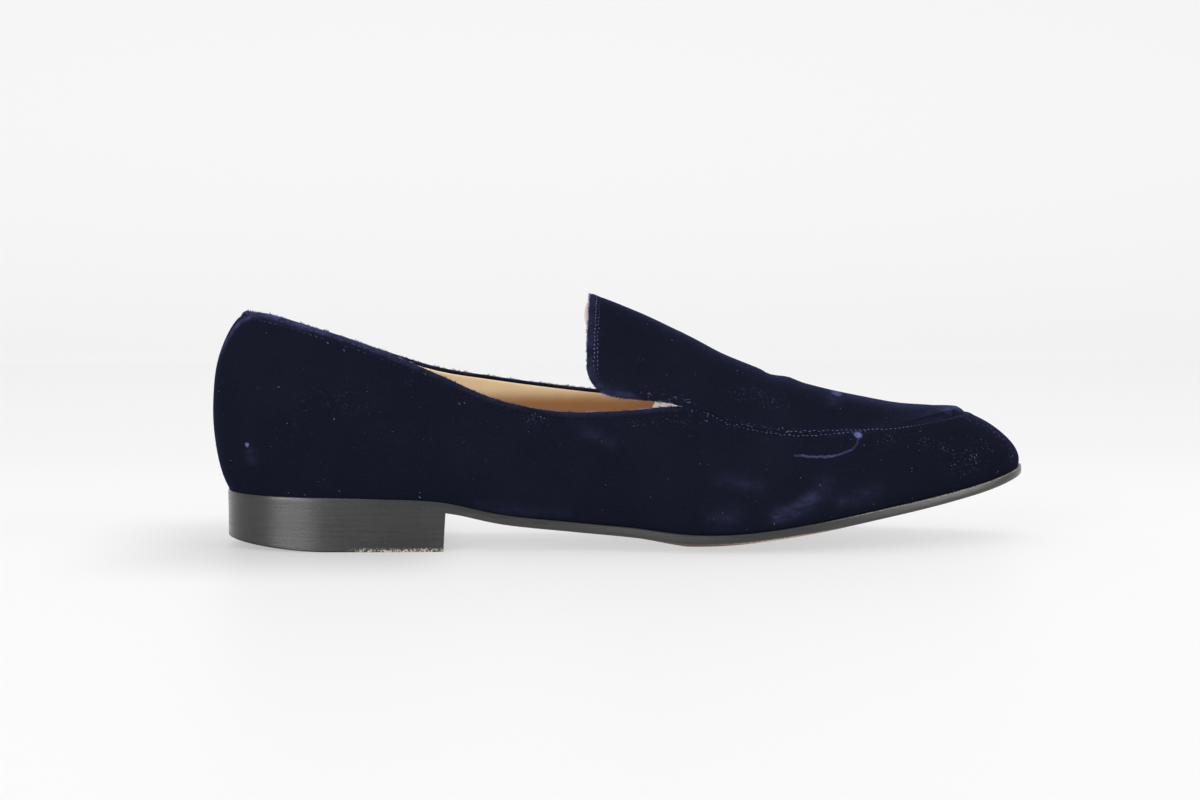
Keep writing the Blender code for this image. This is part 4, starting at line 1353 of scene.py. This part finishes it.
def edge_finish(last, name):
    """Dark satin paint on sole edge and heel: fine streaks along it, specks, and bare leather
    where it is rubbed through, at the painted places and along the foot of the heel, and a painted
    contact shadow along the heel's lowest edge."""
    colours = bpy.context.scene.loafer_colours
    finish = Finish(name, IOR=1.55, Specular_IOR_Level=0.47, Anisotropic=0.8, Anisotropic_Rotation=0.25)
    cloud = finish.noise(70, 4.0, 0.6)
    streak = finish.noise(1100, 4.0, 0.7, stretch=(0.03, 0.03, 1))
    fine = finish.noise(1700, 3.0, 0.6)
    paint = colours.edge_paint
    lines = streak.within(0.35, 0.68)
    uneven = cloud.within(0.3, 0.7) * 0.4 + lines * 0.4 + fine * 0.2
    tone = finish.mix(uneven, paint, times(paint, 1.9))
    specks = (1 - finish.cells(620).within(0.07, 0.17)) * finish.noise(160, 3.0).within(0.5, 0.62)
    tone = finish.mix(specks * 0.5, tone, times(paint, 6))
    start = float(last.shift[0]) + 0.044
    reach = finish.x.within(start, start + 0.008) * (1 - finish.x.within(start + 0.032, start + 0.034))
    low = (1 - (finish.z + fine * 0.0022).within(0.0012, 0.0026)) * reach
    rubbed = low * finish.noise(1100, 4.0, 0.75).within(0.46, 0.56)
    painted = finish.painted()
    rubbed = rubbed.larger(painted * fine.within(0.35, 0.6))
    # Painted contact shadow: darker where the painted value is below 0, along the heel's lowest edge
    tone = finish.mix((painted * -1.0).larger(0.0), tone, times(paint, 0.35))
    tone = finish.mix(rubbed * 0.9, tone, times(colours.bare_leather, 1.2, 1.5, 1.75))
    rough = cloud * 0.16 + lines * 0.14 + rubbed * 0.4 + 0.2
    height = finish.bump(streak * 2.0 + fine * 0.8 - rubbed, 0.00006, 0.6)
    return finish.connect(Base_Color=tone, Roughness=rough.smaller(1.0), Normal=height)


def sole_finish():
    """Tan sole leather of the tread, scuffed by walking, darkened all over as painted shade under the shoe.
    """
    colours = bpy.context.scene.loafer_colours
    finish = Finish("sole_leather", IOR=1.45, Specular_IOR_Level=0.3)
    cloud = finish.noise(60, 5.0, 0.65)
    scuff = finish.noise(500, 4.0, 0.7, stretch=(0.15, 1, 1))
    # Painted shade: bare leather darkened for the tread, in the shade under the shoe
    shaded_tan = times(colours.bare_leather, 0.24, 0.19, 0.16)
    tone = finish.mix(cloud * 0.6 + scuff * 0.3, shaded_tan, times(shaded_tan, 0.4))
    tone = finish.mix(finish.painted(), tone, colours.bare_leather)
    rough = scuff * 0.25 + 0.5
    return finish.connect(Base_Color=tone, Roughness=rough, Normal=finish.bump(scuff + cloud, 0.00015, 0.5))


def sock_finish():
    """Tan sock leather on the insole, browned where the foot has stood."""
    colours = bpy.context.scene.loafer_colours
    finish = Finish("sock_leather", Roughness=0.5, IOR=1.45)
    grain = finish.cells(1300)
    wear = finish.noise(40, 4.0, 0.6)
    tone = finish.mix(wear.within(0.35, 0.75), colours.lining, colours.lining_shade)
    return finish.connect(Base_Color=tone, Normal=finish.bump(grain + wear, 0.00012, 0.4))


def shown_on_root(piece, slot, *nodes):
    """Puts a piece on the frame's one body and hides the nodes that it stands for. Its slot is not used."""
    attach(piece, "root")
    if nodes:
        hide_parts(*nodes)


def plate_rows(build, ring, bottom, last_row):
    """Rows of points across a plate, between the two sides of its ring. Bottom gives the height at
    a place and its share across, from -1 to 1."""
    points = np.array(build.points)
    rows = [[ring[0]]]
    for k in range(1, last_row + 1):
        left, right = ring[k], ring[len(ring) - k]
        if left == right:
            rows.append([left])
            continue
        inner = []
        for part in np.linspace(-1, 1, COLUMNS + 1)[1:-1]:
            place = points[left] + (points[right] - points[left]) * (part + 1) / 2
            inner.append((place[0], place[1], bottom(place, part)))
        rows.append([left, *build.add(inner), right])
    return rows


class MakeUpper(bpy.types.Operator):
    """Velvet outside of the upper, from the collar's rolled edge to the tuck above the sole"""

    bl_idname = "loafer.make_upper"
    bl_label = "Velvet upper"

    def execute(self, context):
        last = Last(context.scene.loafer_sizes)
        build, painted, crest = velvet_build(last)
        piece = new_piece("velvet_upper", build, [velvet_finish(last)], last.shift, painted=painted)
        shown_on_root(piece, "velvet", "upper")
        stitches = context.scene.loafer_stitches
        pile = pile_build(crest, stitches)
        shown_on_root(new_piece("collar_pile", pile, [pile_finish()], last.shift), "velvet")
        lint = lint_build(piece.data, surface_of("velvet_upper"), last.shift, stitches)
        shown_on_root(new_piece("lint", lint, [lint_finish()], 0.0), "velvet")
        return {"FINISHED"}


class MakeLining(bpy.types.Operator):
    """Leather and cloth lining inside the velvet"""

    bl_idname = "loafer.make_lining"
    bl_label = "Lining"

    def execute(self, context):
        last = Last(context.scene.loafer_sizes)
        piece = new_piece("lining", lining_build(last), [lining_finish(last)], last.shift)
        shown_on_root(piece, "sock")
        return {"FINISHED"}


class MakeStitching(bpy.types.Operator):
    """Stitch rows of collar, tongue and apron seam"""

    bl_idname = "loafer.make_stitching"
    bl_label = "Stitching"

    def execute(self, context):
        last = Last(context.scene.loafer_sizes)
        stitches = context.scene.loafer_stitches
        velvet = surface_of("velvet_upper"), thread_finish(last), "velvet"
        lining = surface_of("lining"), lining_thread_finish(), "sock"
        coarse = stitches.pitch, stitches.stitch_length
        fine = stitches.fine_pitch, stitches.fine_length
        second = np.array(SEAM_ROW) * MM
        seam = last.rail[NOTCH + 3 : AROUND - NOTCH - 2]
        ahead = seam[:, 0] > SEAM_SWITCH
        first, stop = np.argmax(ahead), len(seam) - np.argmax(ahead[::-1])
        collar = [collar_line(last, drop) for drop in (stitches.collar_first, stitches.collar_drop)]
        tongue = [tongue_line(last, inset) for inset in (stitches.tongue_first, stitches.tongue_second)]
        apron = [seam[:first], seam[stop:], second, second * (1, -1, 1)]
        rows = {
            "collar_stitching": (velvet, coarse, collar),
            "tongue_stitching": (velvet, fine, tongue),
            "apron_stitching": (velvet, fine, apron),
            "lining_stitching": (lining, coarse, [collar_line(last, stitches.lining_drop)]),
        }
        for name, ((surface, finish, slot), rhythm, lines) in rows.items():
            build = Build()
            for seed, line in enumerate(lines):
                sew(build, line + last.shift, surface, stitches, rhythm, seed=seed + 7)
            piece = new_piece(name, build, [finish], 0.0)
            shown_on_root(piece, slot)
        return {"FINISHED"}


class MakeOutsole(bpy.types.Operator):
    """Outsole with its painted edge and the leather tread"""

    bl_idname = "loafer.make_outsole"
    bl_label = "Outsole"

    def execute(self, context):
        last = Last(context.scene.loafer_sizes)
        sizes = last.sizes
        build = Build()
        edge = last.sole_edge
        bevel = smooth_step((edge[:, 0] - last.breast) / 0.006)
        thick = sizes.sole_thickness
        start, grow = TOP_RUB_FROM
        rubbed = {
            "": np.zeros(AROUND),
            "top": TOP_RUB * smooth_step((edge[:, 0] - start) / grow),
            "ball": hump(edge[:, 0], *BALL_RUB),
        }
        profile = (
            # in, down, bevelled in, bevelled down, slot, where it is rubbed
            (1.2, 0.0, 0.0, 0.0, 0, ""),
            (0.35, 0.0, 0.0, 0.0, 0, ""),
            (0.1, 0.12, 0.0, 0.0, 0, "top"),
            (0.0, 0.4, 0.0, 0.0, 0, ""),
            (-0.04, 1.5, 0.0, 0.0, 0, ""),
            (0.0, 2.5, 0.0, 0.0, 0, ""),
            (0.0, 3.0, 0.3, -0.1, 0, "ball"),
            (0.0, 3.3, 0.9, -0.05, 1, "ball"),
            (1.6, 3.3, 0.4, 0.0, 1, ""),
        )
        rings = []
        painted = []
        for inwards, down, more_in, more_down, slot, rub in profile:
            margin = -(inwards + more_in * bevel) * MM
            drop = -sizes.fit_gap - np.minimum((down + more_down * bevel) * MM, thick)
            rings.append((build.add(moved_out(edge, margin, drop)), slot))
            painted.append(rubbed[rub])
        for (upper, _), (lower, slot) in zip(rings, rings[1:]):
            build.strip(lower, upper, slot=np.where(bevel > 0.5, slot, 0))

        def tread(place, part):
            return max(place[2] - self.crown(last, place[0]) * (1 - part**2), 0)

        build.fill(plate_rows(build, rings[0][0], lambda place, part: place[2], TOE), slot=0)
        bottom = plate_rows(build, rings[-1][0], tread, TOE)
        build.fill([row[::-1] for row in bottom], slot=1)
        finishes = [edge_finish(last, "sole_edge_paint"), sole_finish()]
        painted = np.concatenate(painted)
        piece = new_piece("outsole_dressed", build, finishes, last.shift, smooth=50, painted=painted)
        shown_on_root(piece, "sole", "outsole")
        return {"FINISHED"}

    @staticmethod
    def crown(last, along):
        """Depth of the outsole's belly below its edges."""
        ball = FEATHER[BALL_ROW][0] * last.sizes.shoe_length
        grow = np.clip((along - last.breast) / (ball - last.breast), 0, 1)
        fade = np.clip((along - ball) / (last.sizes.shoe_length - ball), 0, 1)
        depth = BELLY_GROWTH[0] * grow + BELLY_GROWTH[1] * grow**3
        return last.sizes.sole_crown * depth * (1 - BELLY_TOE_LOSS * fade)


class MakeHeel(bpy.types.Operator):
    """Heel block with rounded lower edges, worn at the back"""

    bl_idname = "loafer.make_heel"
    bl_label = "Heel"

    def execute(self, context):
        last = Last(context.scene.loafer_sizes)
        sizes = last.sizes
        loop, corner = self.outline(last)
        breast = loop[:, 0] > last.breast - BREAST_NEAR
        worn = np.clip(1 - (loop[:, 0] - loop[0, 0]) / sizes.heel_wear_run, 0, 1)
        lift = sizes.heel_wear_lift * worn**WEAR_CURVE
        top = loop[:, 2] - sizes.fit_gap - sizes.sole_thickness
        profile = (
            # inwards in mm, share of the way to the top, or else height above the worn foot in mm
            (0.0, 1.0, None),
            (0.03, 0.75, None),
            (0.05, 0.5, None),
            (0.05, 0.25, None),
            (0.02, None, 1.2),
            (0.02, None, 0.6),
            (0.03, None, 0.42),
            (0.12, None, 0.1),
            (0.35, None, 0.0),
        )
        build = Build()
        rings = []
        painted = []
        for inwards, part, above in profile:
            ring = moved_out(loop, -inwards * MM)
            height = lift + (top - lift) * part if above is None else lift + above * MM
            share_up = (height - lift) / np.maximum(top - lift, 1e-6)
            ring[:, 0] -= np.where(breast, sizes.breast_lean * (1 - share_up), 0)
            ring[:, 2] = height
            rings.append(build.add(ring))
            # Painted contact shadow: the lowest rings get a value below 0, which the paint draws darker
            dark = above is not None and above < DARK_FOOT
            painted += [-1.0 if dark else 0.0] * len(ring)
        for upper, lower in zip(rings, rings[1:]):
            build.strip(lower, upper)
        build.fill(self.plate(build, rings[0], corner))
        build.fill([row[::-1] for row in self.plate(build, rings[-1], corner)])
        finish = edge_finish(last, "heel_paint")
        piece = new_piece("heel_block", build, [finish], last.shift, smooth=50, painted=painted)
        shown_on_root(piece, "heel", "heel")
        return {"FINISHED"}

    @staticmethod
    def outline(last):
        """The block's outline in plan: the medial side from the back, the breast, and the lateral
        side to the back again. Gives back also the number of its first corner."""
        edge = last.sole_edge
        reach = [k for k in range(TOE) if edge[k, 0] < last.breast - BREAST_NEAR]
        sides = []
        for sign in (1, -1):
            side = [edge[(sign * k) % AROUND] for k in reach]
            ahead = edge[(sign * (reach[-1] + 1)) % AROUND]
            part = (last.breast - side[-1][0]) / (ahead[0] - side[-1][0])
            side.append(side[-1] + (ahead - side[-1]) * part)
            sides.append(np.array(side))
        left, right = sides
        across = [left[-1] + (right[-1] - left[-1]) * k / COLUMNS for k in range(1, COLUMNS)]
        return np.array([*left, *across, *right[:0:-1]]), len(left) - 1

    @staticmethod
    def plate(build, ring, corner):
        """Rows of points across the block between its two sides, the last one along the breast."""
        points = np.array(build.points)
        rows = [[ring[0]]]
        for k in range(1, corner):
            a, b = ring[k], ring[len(ring) - k]
            parts = np.linspace(0, 1, COLUMNS + 1)[1:-1]
            rows.append([a, *build.add([points[a] + (points[b] - points[a]) * part for part in parts]), b])
        return [*rows, list(ring[corner : corner + COLUMNS + 1])]


class MakeSock(bpy.types.Operator):
    """Leather sock on the insole"""

    bl_idname = "loafer.make_sock"
    bl_label = "Sock"

    def execute(self, context):
        last = Last(context.scene.loafer_sizes)
        sizes = last.sizes
        inset = sizes.upper_wall + sizes.insole_inset
        build = Build()
        rings = [build.add(moved_out(last.feather, -inset, 0))]
        for inwards, below in SOCK_EDGE:
            rings.append(build.add(moved_out(last.feather, -inset - inwards, sizes.insole_thickness - below)))
        for lower, upper in zip(rings, rings[1:]):
            build.strip(lower, upper)
        build.fill(plate_rows(build, rings[-1], lambda place, part: place[2] - SOCK_DIP * (1 - part**2), TOE))
        under = plate_rows(build, rings[0], lambda place, part: place[2], TOE)
        build.fill([row[::-1] for row in under])
        piece = new_piece("sock_lining", build, [sock_finish()], last.shift, smooth=60)
        shown_on_root(piece, "sock", "insole")
        return {"FINISHED"}


class MakeStage(bpy.types.Operator):
    """Pale floor that sweeps up behind the shoe, soft lights and the camera"""

    bl_idname = "loafer.make_stage"
    bl_label = "Stage"

    def execute(self, context):
        scene = context.scene
        stage = scene.loafer_stage
        self.floor(stage)
        for name, place, size, strength, part in LIGHTS:
            self.light(scene, name, place, size, part * getattr(stage, strength))
        self.sky(scene, stage)
        self.camera(scene)
        return {"FINISHED"}

    @staticmethod
    def floor(stage):
        """The floor and its backdrop. They give off a little light of their own, less round the heel as a
        painted contact shadow.
        """
        build = Build()
        reach = stage.floor_reach
        sweep = [(-reach, 0.0), (SWEEP_START, 0.0)]
        for k in range(1, SWEEP_TURNS + 1):
            turn = math.pi / 2 * k / SWEEP_TURNS
            sweep.append((SWEEP_START + SWEEP_RADIUS * math.sin(turn), SWEEP_RADIUS * (1 - math.cos(turn))))
        sweep.append((SWEEP_START + SWEEP_RADIUS, SWEEP_TOP))
        rows = [build.add([(-reach, y, z), (reach, y, z)]) for y, z in sweep]
        for near_row, far_row in zip(rows, rows[1:]):
            build.face(near_row[0], near_row[1], far_row[1], far_row[0])
        glow_strength = stage.floor_glow
        finish = Finish(
            "floor", Roughness=0.5, IOR=1.45, Specular_IOR_Level=0.15, Emission_Strength=glow_strength
        )
        x, y = finish.x, finish.y
        glow = finish.mix(y.within(0.1, 0.4), GLOW_NEAR, GLOW_BEHIND)
        glow = finish.mix(y.within(1.0, 1.9), glow, GLOW_FAR)
        # Painted contact shadow: less of the floor's glow round the heel
        contact = y.within(-0.105, -0.028) * (1 - y.within(0.03, 0.09))
        contact = contact * x.within(-0.19, -0.13) * (1 - x.within(-0.08, -0.05))
        glow = finish.mix(contact, glow, HEEL_SHADOW_GLOW)
        cloud = finish.noise(3, 1.0)
        tone = finish.mix(cloud * 0.3, stage.floor_colour, times(stage.floor_colour, 0.985))
        floor = new_piece("floor", build, [finish.connect(Base_Color=tone, Emission_Color=glow)], 0)

    @staticmethod
    def light(scene, name, place, size, watts):
        """A soft panel of light that faces the shoe."""
        lamp = bpy.data.lights.new(name, "AREA")
        lamp.shape = "RECTANGLE"
        lamp.size, lamp.size_y = size
        lamp.energy = watts
        panel = bpy.data.objects.new(name, lamp)
        panel.location = place
        panel.rotation_euler = (Vector(LIGHT_AIM) - Vector(place)).to_track_quat("-Z", "Y").to_euler()
        scene.collection.objects.link(panel)

    @staticmethod
    def sky(scene, stage):
        """Even light from all round, weaker from behind the camera and from the left."""
        world = bpy.data.worlds.new("even_light")
        world.use_nodes = True
        background = world.node_tree.nodes["Background"]
        background.inputs["Color"].default_value = (1, 1, 1, 1)
        sky = Nodes(world.node_tree, "Generated")
        ahead = (-1 * sky.y).within(0.72, 0.96)
        aside = (-1 * sky.x).within(0.80, 0.97) * 0.5
        strength = (1 - ahead * (1 - stage.dark_front)) * (1 - aside) * stage.daylight
        world.node_tree.links.new(strength.socket, background.inputs["Strength"])
        scene.world = world
        scene.view_settings.view_transform = "Standard"

    @staticmethod
    def camera(scene):
        """The camera, turned a little to the side and looking a little down."""
        camera = bpy.data.cameras.new("camera")
        camera.lens = CAMERA_LENS
        camera.sensor_width = CAMERA_SENSOR
        camera.clip_start = 0.01
        viewer = bpy.data.objects.new("camera", camera)
        turn, tilt = math.radians(CAMERA_TURN), math.radians(CAMERA_TILT)
        look = Vector((math.sin(turn) * math.cos(tilt), math.cos(turn) * math.cos(tilt), -math.sin(tilt)))
        viewer.location = CAMERA_PLACE
        viewer.rotation_euler = look.to_track_quat("-Z", "Y").to_euler()
        scene.collection.objects.link(viewer)
        scene.camera = viewer


class LoaferPanel(bpy.types.Panel):
    """Sizes, colours and pieces of the loafer"""

    bl_idname = "LOAFER_PT_main"
    bl_label = "Velvet slipper loafer"
    bl_space_type = "VIEW_3D"
    bl_region_type = "UI"
    bl_category = "Loafer"

    def draw(self, context):
        for operator in OPERATORS:
            self.layout.operator(operator.bl_idname)
        for name in GROUPS:
            group = getattr(context.scene, name)
            box = self.layout.box()
            for key in group.bl_rna.properties.keys():
                if key not in ("rna_type", "name"):
                    box.prop(group, key)


GROUPS = {
    "loafer_sizes": ShoeSizes,
    "loafer_stitches": StitchSizes,
    "loafer_colours": ShoeColours,
    "loafer_stage": StageSizes,
}
OPERATORS = (MakeUpper, MakeLining, MakeStitching, MakeOutsole, MakeHeel, MakeSock, MakeStage)


def register():
    """Registers the classes and puts the property groups on the scene."""
    for cls in (*GROUPS.values(), *OPERATORS, LoaferPanel):
        bpy.utils.register_class(cls)
    for name, group in GROUPS.items():
        setattr(bpy.types.Scene, name, PointerProperty(type=group))


def unregister():
    """Takes them away again."""
    for name in GROUPS:
        delattr(bpy.types.Scene, name)
    for cls in (LoaferPanel, *OPERATORS[::-1], *list(GROUPS.values())[::-1]):
        bpy.utils.unregister_class(cls)


def main():
    """Makes every piece in order."""
    register()
    bpy.ops.loafer.make_upper()
    bpy.ops.loafer.make_lining()
    bpy.ops.loafer.make_stitching()
    bpy.ops.loafer.make_outsole()
    bpy.ops.loafer.make_heel()
    bpy.ops.loafer.make_sock()
    bpy.ops.loafer.make_stage()


if __name__ == "__main__":
    main()
